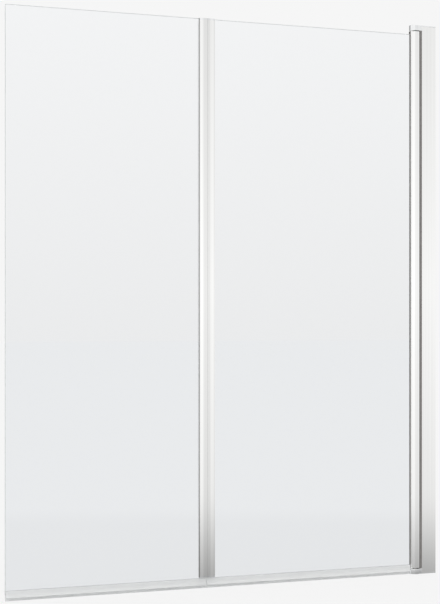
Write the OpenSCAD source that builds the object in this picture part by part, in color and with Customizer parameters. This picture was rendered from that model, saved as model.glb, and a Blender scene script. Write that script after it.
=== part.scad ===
// Folding bath screen: two toughened glass panels hung from a post on the wall.
// The inner panel swings about an upright pivot tube beside the post, and the outer
// panel folds flat behind the inner one about a hinge between the two panels.
// X runs from the free glass edge to the wall face at X = 0, Z runs up from the bath
// rim at Z = 0, and the glass of the open screen lies about the plane Y = 0.

/* [Screen] */
// Height of the wall post with its caps, from the bath rim up
screen_h = 1400; // [1200:5:1500]
// Reach of the open screen, from the wall to the free glass edge
screen_reach = 1140; // [1050:5:1200]
// Distance from the wall to the seam between the two panels
fold_reach = 636.4; // [600:0.1:680]

/* [Glass] */
// Thickness of both panes
glass_t = 6; // [5:0.5:8]
// Height of the glass's lower edge above the bottom bearing block
glass_rise = 3.5; // [1:0.5:6]
// Drop of the glass's top edge below the top bearing block
glass_drop = 9; // [4:0.5:20]

/* [Wall post] */
// Depth of the post profile along X
post_depth = 39.8; // [38:0.1:46]
// Thickness of the post profile along Y
post_t = 24; // [22:0.5:27]
// Wall of the post profile
post_wall = 1.5; // [1.2:0.1:2]
// Gap between the post's rear edges and the wall
wall_gap = 1; // [0.5:0.5:3]
// Width of the groove that holds the gap seal's stem
groove_w = 3; // [2:0.5:4]
// Width of the groove's wide inner part
groove_head_w = 6; // [5:0.5:8]
// Depth of the groove's wide inner part
groove_head_d = 2; // [1.5:0.5:3]

/* [Wall channel] */
// Depth of the channel that is screwed to the wall
channel_depth = 25; // [20:0.5:26]
// Thickness of the channel's flanges
channel_wall = 1.5; // [1.2:0.1:2]
// Thickness of the channel's web against the wall
channel_web = 2; // [1.5:0.1:3]
// Gap between the channel and the post profile on each side
channel_fit = 0.3; // [0.2:0.05:0.4]
// Gap between the channel's ends and the cap plates
channel_end_gap = 1; // [0.5:0.5:3]
// Radius of the wall screw holes
wall_hole_r = 2.5; // [2:0.1:3.5]
// Distance of the outer pair of wall holes from the ends of the post
wall_hole_inset = 100; // [60:5:160]
// Spacing of the inner pair of wall holes
inner_pair = 400; // [200:10:600]

/* [Bearing caps] */
// Height of the bearing blocks above and below the pivot tube
bearing_h = 14; // [13.5:0.5:24]
// Thickness of the cap plates on the ends of the post
cap_plate_t = 3; // [2.5:0.1:4]
// Length of the cap's lug inside the post
lug_h = 10; // [6:1:20]
// Depth of the lug along X
lug_depth = 6; // [4:0.5:7]
// Gap around the lug
lug_gap = 0.2; // [0.1:0.05:0.4]

/* [Pivot tube] */
// Outer radius of the pivot tube and of the bearing blocks
tube_r = 14; // [13:0.1:16]
// Wall of the tube profile
tube_wall = 1.5; // [1.2:0.1:2]
// Gap between the tube and the post profile
tube_gap = 1.3; // [1.1:0.1:4]
// Half width of the gap seal along Y
gap_seal_y = 11.5; // [5:0.5:11.5]
// Reach of the gap seal's lips round the tube, from the post profile
gap_seal_reach = 6.6; // [1.5:0.1:7]
// Radius of the pivot pins
pin_r = 2.5; // [2:0.1:3]
// Length of each pivot pin inside its bearing block
pin_seat = 11; // [8:0.5:12]
// Length of each pivot pin beyond its bearing block
pin_reach = 20; // [12:1:30]
// Wall of the plastic bushes
bush_wall = 1.5; // [1:0.1:1.8]
// Length of the tube bushes
bush_l = 24; // [20:1:40]
// Thickness of the bush flanges
flange_t = 1; // [0.8:0.1:2]
// Width of the bush flanges beyond the bush
flange_w = 0.9; // [0.5:0.1:1.2]
// Thickness of the thrust washers
washer_t = 1; // [0.5:0.1:2]

/* [Fold hinge] */
// Width of the outer half, from the seam line to its glass edge
outer_half_w = 20.3; // [20:0.1:26]
// Width of the inner half, from the seam line to its glass edge
inner_half_w = 19.5; // [17.5:0.1:24]
// Distance of the front faces from the glass's mid-plane
half_front = 13; // [12.5:0.1:15]
// Distance of the rear faces from the glass's mid-plane
half_rear = 7; // [6.5:0.1:9]
// Wall of the two half profiles
half_wall = 1.5; // [1.2:0.1:1.6]
// Radius of the crown of the front faces
crown_r = 110; // [100:5:300]
// Radius of the front corners at the glass
half_round = 1.6; // [1.5:0.1:3]
// Radius of the rear corners at the glass
rear_round = 1.2; // [0.5:0.1:2]
// Radius of the front corners at the seam
seam_round = 1.2; // [0.5:0.1:1.5]
// Gap between the two halves
seam_gap = 0.8; // [0.6:0.1:1.2]
// Radius of the hinge barrel
barrel_r = 5.5; // [5:0.1:5.6]
// Thickness of the end caps
fold_cap_t = 5; // [4.5:0.1:8]
// Height of the hinge profiles above the glass's lower edge
fold_lift = 9.5; // [8:0.5:20]
// Radius of the fold pins
fold_pin_r = 2; // [1.5:0.1:2.2]
// Length of each fold pin inside its end cap
fold_pin_seat = 3.6; // [3:0.1:3.8]
// Length of each fold pin inside its bush
fold_pin_reach = 16; // [10:1:20]
// Wall of the fold bushes
fold_bush_wall = 1.4; // [1:0.1:1.5]
// Length of the fold bushes
fold_bush_l = 20; // [20:1:30]

/* [Glazing] */
// Depth of the glass pockets in the fold hinge
pocket_d = 12; // [10:0.1:12.2]
// Thickness of the gasket on each side of the glass
gasket_t = 1.5; // [1:0.1:1.6]
// Thickness of the gasket behind the glass edge
gasket_base = 1; // [0.8:0.1:1.5]
// Length of the tube gasket's lip outside its pocket
gasket_lip = 0.5; // [0.3:0.1:1.5]
// Distance of the hinge gaskets' edges inside their pockets
gasket_inset = 2; // [0.5:0.1:4]

/* [Bottom seals] */
// Wall of the clip that grips the glass
seal_wall = 1.2; // [1:0.1:1.5]
// Height of the clip's legs above the glass's lower edge
seal_grip = 6.5; // [5:0.5:7]
// Thickness of the clip's web under the glass
seal_web = 2; // [1.5:0.1:3]
// Clearance of the wiping fin above the bath rim
fin_clear = 0.5; // [0.3:0.1:2]
// Thickness of the fins
fin_t = 1.1; // [0.8:0.1:1.5]
// Shift of the wiping fin's tip towards the rear
fin_lean = 0.2; // [0:0.1:0.5]
// Radius of the curve of the drip skirt
skirt_r = 9.2; // [8:0.1:10]
// Angle through which the drip skirt curves
skirt_sweep = 58; // [30:1:65]
// Gap between the seals' ends at the seam
seal_end_gap = 1; // [0.8:0.1:2]

/* [Fasteners] */
// Radius of the bore in each screw port
port_hole_r = 1.5; // [1.2:0.1:1.8]
// Wall of each screw port
port_wall = 1.7; // [1.2:0.1:1.9]
// Distance of the screw ports from the outer faces
port_inset = 4; // [3.8:0.1:4.4]
// Distance of the fold hinge's ports from the front of the crown
port_depth = 4.6; // [4.4:0.1:4.8]
// Distance of the fold hinge's outer ports from its glass edges
port_edge = 5.5; // [5:0.1:5.8]
// Radius of the countersunk heads
head_r = 2.8; // [2.2:0.1:3]
// Height of the countersunk heads
head_h = 1.6; // [1:0.1:2]
// Length of the cap screws
screw_l = 14; // [10:1:25]
// Length of the arms of the cross recess in the screw heads
cross_l = 3.4; // [2.4:0.1:3.4]
// Width of those arms
cross_w = 0.9; // [0.6:0.1:1]
// Depth of the cross recess
cross_d = 1; // [0.5:0.1:1.1]
// Radius of the adjusting screws
adjust_r = 2; // [1.5:0.1:2.2]
// Number of adjusting screws
adjust_count = 3; // [2:1:5]
// Distance of the end adjusting screws from the ends of the post
adjust_inset = 150; // [120:5:250]
// Gap between an adjusting screw and the sides of its slot
slot_gap = 0.3; // [0.1:0.1:0.5]
// Travel of an adjusting screw in its slot
adjust_travel = 6; // [0:0.5:6]
// Length of the adjusting screws under the head
adjust_l = 9; // [8:0.5:12]
// Radius of the adjusting screw heads
adjust_head_r = 3.8; // [3:0.1:4]
// Height of the adjusting screw heads
adjust_head_h = 2.4; // [1.5:0.1:3]
// Width of the square nuts in the channel
nut_w = 8; // [7:0.1:10]
// Thickness of the square nuts
nut_t = 3.2; // [2:0.1:4]
// Radius of the screw covers
cover_r = 6.5; // [6.2:0.1:8]
// Wall of the screw covers
cover_wall = 1.2; // [0.8:0.1:1.3]
// Thickness of the washers that the covers clip on
clip_t = 1; // [0.8:0.1:2]

/* [Clearances] */
// Radial gap of the pins in their bushes
run_gap = 0.05; // [0.02:0.01:0.09]
// Gap round pieces that are pushed or screwed together
fit_gap = 0.05; // [0.02:0.01:0.1]
// Gap between faces that slide past each other endways
face_gap = 0.1; // [0.1:0.05:0.3]
// Gap between curved faces that sweep past each other
sweep_gap = 0.4; // [0.3:0.05:0.5]

/* [Hidden] */
$fn = 64;

// Length by which a cut runs past the face that it opens
over = 1;
// Number of facets of the whole crown circle
crown_facets = 720;
// Colours of the materials
profile_colour = [0.86, 0.87, 0.89];
cap_colour = [0.80, 0.81, 0.83];
steel_colour = [0.66, 0.67, 0.70];
rubber_colour = [0.16, 0.15, 0.15];
nylon_colour = [0.90, 0.90, 0.87];
glass_colour = [0.80, 0.88, 0.90, 0.45];
clear_colour = [0.88, 0.91, 0.93, 0.7];

// Post, channel and the places of their fixings
post_front_x = -(wall_gap + post_depth);
cavity_y = post_t / 2 - post_wall;
channel_y = cavity_y - channel_fit;
channel_z0 = cap_plate_t + channel_end_gap;
channel_l = screen_h - 2 * channel_z0;
port_r = port_hole_r + port_wall;
post_port_x = post_front_x + port_inset;
post_port_y = post_t / 2 - port_inset;
adjust_x = -(channel_web + channel_depth) / 2;
adjust_pitch = (screen_h - 2 * adjust_inset) / (adjust_count - 1);
wall_hole_zs = [
    wall_hole_inset, (screen_h - inner_pair) / 2,
    (screen_h + inner_pair) / 2, screen_h - wall_hole_inset
];

// Pivot tube
pivot_x = post_front_x - tube_gap - tube_r;
bush_r = pin_r + run_gap + bush_wall;
tube_bore_r = bush_r + fit_gap;
tube_pocket_x = tube_bore_r + tube_wall;
tube_z0 = bearing_h + washer_t + face_gap + flange_t;
tube_z1 = screen_h - tube_z0;

// Glass
pocket_y = glass_t / 2 + gasket_t;
glass_z0 = bearing_h + glass_rise;
glass_z1 = screen_h - bearing_h - glass_drop;
inner_glass_x0 = -fold_reach + inner_half_w - pocket_d + gasket_base + fit_gap;
inner_glass_x1 = pivot_x - tube_pocket_x - gasket_base - fit_gap;
outer_glass_x0 = -screen_reach;
outer_glass_x1 = -fold_reach - outer_half_w + pocket_d - gasket_base - fit_gap;

// Fold hinge
fold_y = half_rear + sweep_gap;
fold_z0 = glass_z0 + fold_lift;
fold_z1 = glass_z1;
fold_body_z0 = fold_z0 + fold_cap_t;
fold_body_l = fold_z1 - fold_z0 - 2 * fold_cap_t;
fold_bush_r = fold_pin_r + run_gap + fold_bush_wall;
fold_bore_r = fold_bush_r + fit_gap;
groove_r = barrel_r + sweep_gap;
arm_t = fold_cap_t - sweep_gap;
fold_port_y = -half_front + port_depth;
crown_y = crown_r - half_front;

// Bottom seals
seal_slot_y = glass_t / 2 + fit_gap;
seal_y = seal_slot_y + seal_wall;
seal_z1 = glass_z0 + seal_grip;
seal_web_z = glass_z0 - fit_gap - seal_web;

// Puts its children at the ends of the fold hinge's seam line
module on_seam(z = 0) {
    translate([-fold_reach, 0, z]) children();
}

// Turns a piece made for the bottom end over to the top end
module at_top(z0, z1) {
    translate([0, 0, z0 + z1]) mirror([0, 0, 1]) children();
}

// Waste outside a rounded corner whose arc is centred on the origin
module corner_waste(r) {
    difference() {
        square(r + over);
        circle(r);
    }
}

// Waste of a cross recess that opens towards -Z at Z = 0
module cross_recess() {
    for (turn = [0, 90]) {
        rotate(turn) translate([-cross_l / 2, -cross_w / 2, -over])
            cube([cross_l, cross_w, over + cross_d]);
    }
}

// Countersunk screw with its head flush at Z = 0 and its point upwards
module countersunk_screw() {
    shank_r = port_hole_r - fit_gap;
    difference() {
        union() {
            cylinder(h = head_h, r1 = head_r, r2 = shank_r);
            cylinder(h = screw_l, r = shank_r);
        }
        cross_recess();
    }
}

// Hole and countersink for such a screw in a cap
module countersunk_hole() {
    hole_r = port_hole_r + fit_gap;
    cylinder(h = head_h, r1 = head_r + fit_gap, r2 = hole_r);
    translate([0, 0, -over]) cylinder(h = screw_l, r = hole_r);
}

// ---- Wall side ----

module wall_channel_section() {
    difference() {
        translate([-channel_depth, -channel_y]) square([channel_depth, 2 * channel_y]);
        translate([-channel_depth - over, -channel_y + channel_wall])
            square([channel_depth + over - channel_web, 2 * (channel_y - channel_wall)]);
    }
}

module wall_channel() {
    color(profile_colour) difference() {
        translate([0, 0, channel_z0]) linear_extrude(channel_l) wall_channel_section();
        for (z = wall_hole_zs) {
            translate([over, 0, z]) rotate([0, -90, 0])
                cylinder(h = channel_web + 2 * over, r = wall_hole_r);
        }
        at_adjusters() translate([0, 0, channel_y - channel_wall - over])
            cylinder(h = channel_wall + 2 * over, r = adjust_r + fit_gap);
    }
}

// Places of the adjusting screws, with Z turned to point out of the post's rear face
module at_adjusters() {
    for (i = [0:adjust_count - 1]) {
        translate([adjust_x, 0, adjust_inset + i * adjust_pitch]) rotate([-90, 0, 0]) children();
    }
}

module at_post_ports() {
    for (side = [-1, 1]) {
        translate([post_port_x, side * post_port_y]) children();
    }
}

module post_section() {
    boss_d = post_wall + groove_head_d;
    boss_y = groove_head_w / 2 + post_wall;
    difference() {
        translate([post_front_x, -post_t / 2]) square([post_depth, post_t]);
        difference() {
            translate([post_front_x + post_wall, -cavity_y]) square([post_depth, 2 * cavity_y]);
            translate([post_front_x, -boss_y]) square([boss_d + post_wall, 2 * boss_y]);
            at_post_ports() circle(port_r);
            for (side = [-1, 1]) {
                translate([post_port_x, side * post_port_y]) mirror([1, 0])
                    mirror([0, (1 - side) / 2]) square(port_inset);
            }
        }
        translate([post_front_x - over, -groove_w / 2]) square([post_wall + 2 * over, groove_w]);
        translate([post_front_x + post_wall, -groove_head_w / 2])
            square([groove_head_d, groove_head_w]);
        at_post_ports() circle(port_hole_r);
    }
}

module post_profile() {
    slot_r = adjust_r + slot_gap;
    color(profile_colour) difference() {
        translate([0, 0, cap_plate_t]) linear_extrude(screen_h - 2 * cap_plate_t) post_section();
        at_adjusters() translate([0, 0, cavity_y - over]) {
            for (side = [-1, 1]) {
                translate([side * adjust_travel / 2, 0, 0])
                    cylinder(h = post_wall + 2 * over, r = slot_r);
            }
            translate([-adjust_travel / 2, -slot_r, 0])
                cube([adjust_travel, 2 * slot_r, post_wall + 2 * over]);
        }
    }
}

// Rubber strip that fills the gap between the post and the round face of the tube
module gap_seal() {
    tip_x = post_front_x - gap_seal_reach;
    base_x = post_front_x - fit_gap;
    seal_l = screen_h - 2 * bearing_h - 2 * face_gap;
    color(rubber_colour) translate([0, 0, bearing_h + face_gap]) linear_extrude(seal_l)
        difference() {
            union() {
                translate([tip_x, -gap_seal_y]) square([base_x - tip_x, 2 * gap_seal_y]);
                translate([tip_x, -groove_w / 2 + fit_gap])
                    square([post_front_x + post_wall + over - tip_x, groove_w - 2 * fit_gap]);
                translate([post_front_x + post_wall + fit_gap, -groove_head_w / 2 + fit_gap])
                    square([groove_head_d - 2 * fit_gap, groove_head_w - 2 * fit_gap]);
            }
            translate([pivot_x, 0]) circle(tube_r + sweep_gap);
        }
}

// Bearing cap for the bottom end: a block under the tube, a plate under the post,
// and a lug that stands up inside the post
module bearing_cap() {
    neck_x = post_front_x - fit_gap;
    lug_x = post_port_x + port_r + lug_gap;
    lug_y = cavity_y - lug_gap;
    difference() {
        union() {
            linear_extrude(bearing_h) {
                translate([pivot_x, 0]) circle(tube_r);
                translate([pivot_x, -post_t / 2]) square([neck_x - pivot_x, post_t]);
            }
            translate([neck_x - over, -post_t / 2, 0])
                cube([post_depth + fit_gap + over, post_t, cap_plate_t]);
            translate([lug_x, -lug_y, 0]) cube([lug_depth, 2 * lug_y, cap_plate_t + lug_h]);
        }
        translate([pivot_x, 0, bearing_h - pin_seat])
            cylinder(h = pin_seat + over, r = pin_r + fit_gap);
        at_post_ports() countersunk_hole();
    }
}

module top_bearing_cap() {
    color(cap_colour) at_top(0, screen_h) bearing_cap();
}

module bottom_bearing_cap() {
    color(cap_colour) bearing_cap();
}

module bearing_cap_screws() {
    color(steel_colour) {
        at_post_ports() countersunk_screw();
        at_top(0, screen_h) at_post_ports() countersunk_screw();
    }
}

module pivot_pin() {
    translate([pivot_x, 0, bearing_h - pin_seat]) cylinder(h = pin_seat + pin_reach, r = pin_r);
}

module top_pivot_pin() {
    color(steel_colour) at_top(0, screen_h) pivot_pin();
}

module bottom_pivot_pin() {
    color(steel_colour) pivot_pin();
}

module thrust_washer() {
    translate([pivot_x, 0, bearing_h]) difference() {
        cylinder(h = washer_t, r = bush_r + flange_w);
        translate([0, 0, -over]) cylinder(h = washer_t + 2 * over, r = pin_r + run_gap);
    }
}

module thrust_washers() {
    color(nylon_colour) {
        thrust_washer();
        at_top(0, screen_h) thrust_washer();
    }
}

module adjusting_screws() {
    color(steel_colour) at_adjusters() translate([0, 0, post_t / 2 + clip_t]) difference() {
        union() {
            cylinder(h = adjust_head_h, r = adjust_head_r);
            translate([0, 0, -adjust_l]) cylinder(h = adjust_l + over, r = adjust_r);
        }
        translate([0, 0, adjust_head_h]) mirror([0, 0, 1]) cross_recess();
    }
}

module adjusting_nuts() {
    color(steel_colour) at_adjusters()
        translate([0, 0, channel_y - channel_wall - fit_gap - nut_t]) difference() {
            translate([-nut_w / 2, -nut_w / 2, 0]) cube([nut_w, nut_w, nut_t]);
            translate([0, 0, -over]) cylinder(h = nut_t + 2 * over, r = adjust_r + fit_gap);
        }
}

module cover_washers() {
    color(nylon_colour) at_adjusters() translate([0, 0, post_t / 2]) difference() {
        cylinder(h = clip_t, r = cover_r - cover_wall - fit_gap);
        translate([0, 0, -over]) cylinder(h = clip_t + 2 * over, r = adjust_r + fit_gap);
    }
}

module screw_covers() {
    inside_h = clip_t + adjust_head_h + fit_gap;
    edge = cover_wall / 2;
    color(cap_colour) at_adjusters() translate([0, 0, post_t / 2]) difference() {
        union() {
            cylinder(h = inside_h + cover_wall - edge, r = cover_r);
            translate([0, 0, inside_h + cover_wall - edge])
                cylinder(h = edge, r1 = cover_r, r2 = cover_r - edge);
        }
        translate([0, 0, -over]) cylinder(h = inside_h + over, r = cover_r - cover_wall);
    }
}

// ---- Inner panel ----

module pivot_tube_section() {
    chamber_r = tube_r - tube_wall;
    boss_r = tube_bore_r + tube_wall;
    difference() {
        circle(tube_r);
        difference() {
            circle(chamber_r);
            circle(boss_r);
            translate([-tube_r, -pocket_y - tube_wall])
                square([tube_r - tube_bore_r, 2 * (pocket_y + tube_wall)]);
            translate([0, -tube_wall / 2]) square([tube_r, tube_wall]);
        }
        translate([-tube_r - over, -pocket_y])
            square([tube_r + over - tube_pocket_x, 2 * pocket_y]);
        circle(tube_bore_r);
    }
}

module pivot_tube() {
    color(profile_colour) translate([pivot_x, 0, tube_z0])
        linear_extrude(tube_z1 - tube_z0) pivot_tube_section();
}

module flanged_bush(bore_r, outer_r, length) {
    difference() {
        union() {
            cylinder(h = flange_t, r = outer_r + flange_w);
            cylinder(h = flange_t + length, r = outer_r);
        }
        translate([0, 0, -over]) cylinder(h = flange_t + length + 2 * over, r = bore_r);
    }
}

module tube_bush() {
    translate([pivot_x, 0, tube_z0 - flange_t]) flanged_bush(pin_r + run_gap, bush_r, bush_l);
}

module tube_top_bush() {
    color(nylon_colour) at_top(0, screen_h) tube_bush();
}

module tube_bottom_bush() {
    color(nylon_colour) tube_bush();
}

// Gasket section that wraps a glass edge. The pocket's mouth faces -X at X = 0.
module gasket_section(depth) {
    outer_y = pocket_y - fit_gap;
    difference() {
        translate([gasket_inset, -outer_y])
            square([depth - gasket_inset - fit_gap, 2 * outer_y]);
        translate([gasket_inset - over, -glass_t / 2 - fit_gap])
            square([depth - gasket_inset + over - gasket_base, glass_t + 2 * fit_gap]);
    }
}

// Gasket of the tube, whose lip starts at the tube's round face
module tube_gasket() {
    lip_r = tube_r + gasket_lip;
    color(rubber_colour) translate([pivot_x, 0, tube_z0]) linear_extrude(tube_z1 - tube_z0)
        difference() {
            intersection() {
                translate([-lip_r, -pocket_y + fit_gap])
                    square([lip_r - tube_pocket_x - fit_gap, 2 * (pocket_y - fit_gap)]);
                circle(lip_r);
            }
            translate([-lip_r - over, -glass_t / 2 - fit_gap])
                square([lip_r + over - tube_pocket_x - gasket_base - fit_gap, glass_t + 2 * fit_gap]);
        }
}

module pane(x0, x1) {
    color(glass_colour) translate([x0, -glass_t / 2, glass_z0])
        cube([x1 - x0, glass_t, glass_z1 - glass_z0]);
}

module inner_glass() {
    pane(inner_glass_x0, inner_glass_x1);
}

// Seal section in Y and Z: a clip, a wiping fin under it and a curved drip skirt
module seal_section() {
    root_z = seal_web_z + seal_web / 2;
    difference() {
        union() {
            translate([-seal_y, seal_web_z]) square([2 * seal_y, seal_z1 - seal_web_z]);
            polygon([
                [-fin_t, root_z], [fin_lean - fin_t / 2, fin_clear],
                [fin_lean + fin_t / 2, fin_clear], [fin_t, root_z]
            ]);
            translate([-seal_y - skirt_r, root_z]) skirt_section();
        }
        translate([-seal_slot_y, glass_z0 - fit_gap])
            square([2 * seal_slot_y, seal_grip + over + fit_gap]);
    }
}

// Arc of the drip skirt about the origin, from the +Y side down
module skirt_section() {
    reach = 2 * skirt_r;
    intersection() {
        difference() {
            circle(skirt_r + fin_t);
            circle(skirt_r);
        }
        polygon([[0, 0], [reach * cos(skirt_sweep), -reach * sin(skirt_sweep)], [reach, 0]]);
    }
}

module bottom_seal(x0, x1) {
    color(clear_colour) translate([x0, 0, 0]) rotate([90, 0, 90])
        linear_extrude(x1 - x0) seal_section();
}

module inner_seal() {
    bottom_seal(-fold_reach + seal_end_gap / 2, pivot_x - tube_r - gasket_lip - fit_gap);
}

// ---- Fold hinge ----

// Waste outside the front corner's arc, which runs on from the crown to the side at X = w
module crown_corner_waste(w) {
    round_x = w - half_round;
    crown_x = crown_r - half_round;
    lean = asin(round_x / crown_x);
    reach = 2 * half_round;
    translate([round_x, crown_y - crown_x * cos(lean)]) difference() {
        polygon([[0, 0], [reach * sin(lean), -reach * cos(lean)], [reach, -reach], [reach, 0]]);
        circle(half_round);
    }
}

// Outline of the half on the +X side of the seam, out to its glass edge at X = w
module half_outline(w) {
    edge_x = seam_gap / 2;
    difference() {
        intersection() {
            translate([edge_x, -half_front]) square([w - edge_x, half_front + half_rear]);
            translate([0, crown_y]) circle(crown_r, $fn = crown_facets);
        }
        crown_corner_waste(w);
        translate([w - rear_round, half_rear - rear_round]) corner_waste(rear_round);
        translate([edge_x + seam_round, -half_front + seam_round]) rotate(180)
            corner_waste(seam_round);
    }
}

module at_half_ports(w) {
    for (x = [seam_gap / 2 + port_inset, w - port_edge]) {
        translate([x, fold_port_y]) children();
    }
}

// Hollow of a half: a wide chamber between the screw ports and a narrow one at the seam
module half_chamber(w) {
    seam_x = seam_gap / 2 + half_wall;
    port_x = seam_gap / 2 + port_inset;
    front_y = -half_front + half_wall;
    pocket_wall_y = -pocket_y - half_wall;
    difference() {
        union() {
            intersection() {
                translate([port_x, front_y]) square([w - port_edge - port_x, pocket_wall_y - front_y]);
                translate([0, crown_y]) circle(crown_r - half_wall, $fn = crown_facets);
            }
            translate([seam_x, fold_port_y])
                square([w - pocket_d - half_wall - seam_x, fold_y - groove_r - half_wall - fold_port_y]);
        }
        at_half_ports(w) circle(port_r);
    }
}

module half_section(w) {
    difference() {
        half_outline(w);
        half_chamber(w);
        translate([w - pocket_d, -pocket_y]) square([pocket_d + over, 2 * pocket_y]);
        at_half_ports(w) circle(port_hole_r);
    }
}

module inner_fold_profile() {
    color(profile_colour) on_seam(fold_body_z0) linear_extrude(fold_body_l) difference() {
        union() {
            half_section(inner_half_w);
            translate([0, fold_y]) circle(barrel_r);
        }
        translate([0, fold_y]) circle(fold_bore_r);
    }
}

module outer_fold_profile() {
    color(profile_colour) on_seam(fold_body_z0) linear_extrude(fold_body_l) difference() {
        mirror([1, 0]) half_section(outer_half_w);
        translate([0, fold_y]) circle(groove_r);
    }
}

module inner_fold_gasket() {
    color(rubber_colour) on_seam(fold_body_z0) linear_extrude(fold_body_l)
        translate([inner_half_w, 0]) mirror([1, 0]) gasket_section(pocket_d);
}

module outer_fold_gasket() {
    color(rubber_colour) on_seam(fold_body_z0) linear_extrude(fold_body_l)
        translate([-outer_half_w, 0]) gasket_section(pocket_d);
}

// Outline of an end cap, open where the glass runs through it
module half_cap_section(w) {
    slot_y = glass_t / 2 + fit_gap;
    difference() {
        half_outline(w);
        translate([w - pocket_d + gasket_base, -slot_y])
            square([pocket_d - gasket_base + over, 2 * slot_y]);
    }
}

module inner_fold_cap() {
    on_seam(fold_z0) difference() {
        linear_extrude(fold_cap_t) difference() {
            half_cap_section(inner_half_w);
            translate([0, fold_y]) circle(groove_r);
        }
        at_half_ports(inner_half_w) countersunk_hole();
    }
}

// End cap of the outer half, with an arm over the barrel that holds the fold pin
module outer_fold_cap() {
    on_seam(fold_z0) difference() {
        union() {
            linear_extrude(fold_cap_t) mirror([1, 0]) half_cap_section(outer_half_w);
            translate([0, fold_y, 0]) cylinder(h = arm_t, r = barrel_r);
        }
        translate([0, fold_y, arm_t]) cylinder(h = sweep_gap + over, r = groove_r);
        translate([0, fold_y, arm_t - fold_pin_seat])
            cylinder(h = fold_pin_seat + over, r = fold_pin_r + fit_gap);
        mirror([1, 0, 0]) at_half_ports(outer_half_w) countersunk_hole();
    }
}

module inner_fold_top_cap() {
    color(cap_colour) at_top(fold_z0, fold_z1) inner_fold_cap();
}

module inner_fold_bottom_cap() {
    color(cap_colour) inner_fold_cap();
}

module outer_fold_top_cap() {
    color(cap_colour) at_top(fold_z0, fold_z1) outer_fold_cap();
}

module outer_fold_bottom_cap() {
    color(cap_colour) outer_fold_cap();
}

module inner_fold_screws() {
    color(steel_colour) {
        on_seam(fold_z0) at_half_ports(inner_half_w) countersunk_screw();
        at_top(fold_z0, fold_z1) on_seam(fold_z0) at_half_ports(inner_half_w) countersunk_screw();
    }
}

module outer_half_screws() {
    on_seam(fold_z0) mirror([1, 0, 0]) at_half_ports(outer_half_w) countersunk_screw();
}

module outer_fold_screws() {
    color(steel_colour) {
        outer_half_screws();
        at_top(fold_z0, fold_z1) outer_half_screws();
    }
}

module fold_bush() {
    translate([-fold_reach, fold_y, fold_body_z0]) difference() {
        cylinder(h = fold_bush_l, r = fold_bush_r);
        translate([0, 0, -over]) cylinder(h = fold_bush_l + 2 * over, r = fold_pin_r + run_gap);
    }
}

module fold_top_bush() {
    color(nylon_colour) at_top(fold_z0, fold_z1) fold_bush();
}

module fold_bottom_bush() {
    color(nylon_colour) fold_bush();
}

module fold_pin() {
    translate([-fold_reach, fold_y, fold_z0 + arm_t - fold_pin_seat])
        cylinder(h = fold_pin_seat + sweep_gap + fold_pin_reach, r = fold_pin_r);
}

module fold_top_pin() {
    color(steel_colour) at_top(fold_z0, fold_z1) fold_pin();
}

module fold_bottom_pin() {
    color(steel_colour) fold_pin();
}

// ---- Outer panel ----

module outer_glass() {
    pane(outer_glass_x0, outer_glass_x1);
}

module outer_seal() {
    bottom_seal(outer_glass_x0, -fold_reach - seal_end_gap / 2);
}

wall_channel();
post_profile();
gap_seal();
top_bearing_cap();
bottom_bearing_cap();
bearing_cap_screws();
top_pivot_pin();
bottom_pivot_pin();
thrust_washers();
adjusting_screws();
adjusting_nuts();
cover_washers();
screw_covers();
pivot_tube();
tube_top_bush();
tube_bottom_bush();
tube_gasket();
inner_glass();
inner_seal();
inner_fold_profile();
inner_fold_gasket();
inner_fold_top_cap();
inner_fold_bottom_cap();
inner_fold_screws();
fold_top_bush();
fold_bottom_bush();
outer_fold_profile();
outer_fold_gasket();
outer_fold_top_cap();
outer_fold_bottom_cap();
outer_fold_screws();
fold_top_pin();
fold_bottom_pin();
outer_glass();
outer_seal();
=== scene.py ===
"""Looks of a folding bath screen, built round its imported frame.

Two toughened glass panels hang from a post on the wall. The inner panel swings on a
round pivot tube, and the outer one folds behind it about a hinge in the middle. Lengths
are in millimetres in the object's own frame: X = 0 is the wall face, the screen reaches
to -X, -Y is its flat front side, and Z runs up from the bath rim.
"""

from __future__ import annotations

import logging
import math
from abc import ABC, abstractmethod
from collections.abc import Callable, Sequence
from dataclasses import dataclass, field
from enum import Enum

import bmesh
import bpy
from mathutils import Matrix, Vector


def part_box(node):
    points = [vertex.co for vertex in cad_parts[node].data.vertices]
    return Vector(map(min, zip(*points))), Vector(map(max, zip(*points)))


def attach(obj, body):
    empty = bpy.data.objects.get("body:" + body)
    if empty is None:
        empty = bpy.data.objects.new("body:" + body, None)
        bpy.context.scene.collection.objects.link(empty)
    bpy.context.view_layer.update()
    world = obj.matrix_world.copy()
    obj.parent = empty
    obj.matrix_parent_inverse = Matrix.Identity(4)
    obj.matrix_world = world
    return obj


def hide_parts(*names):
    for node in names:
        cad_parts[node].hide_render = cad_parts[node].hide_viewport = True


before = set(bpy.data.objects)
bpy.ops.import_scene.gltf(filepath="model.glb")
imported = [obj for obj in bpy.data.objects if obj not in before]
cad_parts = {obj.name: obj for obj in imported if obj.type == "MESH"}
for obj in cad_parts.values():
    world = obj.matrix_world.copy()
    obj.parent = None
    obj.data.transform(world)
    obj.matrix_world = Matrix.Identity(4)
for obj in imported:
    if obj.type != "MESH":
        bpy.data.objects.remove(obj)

LOG = logging.getLogger("bath_screen")
MM = 0.001
OVER = 1.0  # How far a cutter or a root runs past the face that it crosses.
HAIR = 0.01  # Least length that counts: what is nearer than this lies on a face.
WELD = 0.001  # Vertices nearer than this are merged.
STRAIGHT = 0.999  # Share of a direction that has to lie along an axis.
SLIP = 0.05  # Room round a strip or gasket in its groove.
NOISE_RANGE = (0.3, 0.7)  # Most of a noise lies between these.
FACETS = 2  # Facets of a small rounding.
FINE_FACETS = 3  # Facets of a rounding that shows.
CLAMP_X = -13.5  # X of the screws that clamp the post to the wall channel.
CLAMP_HEIGHTS = (150.0, 700.0, 1250.0)  # Their heights.
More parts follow.
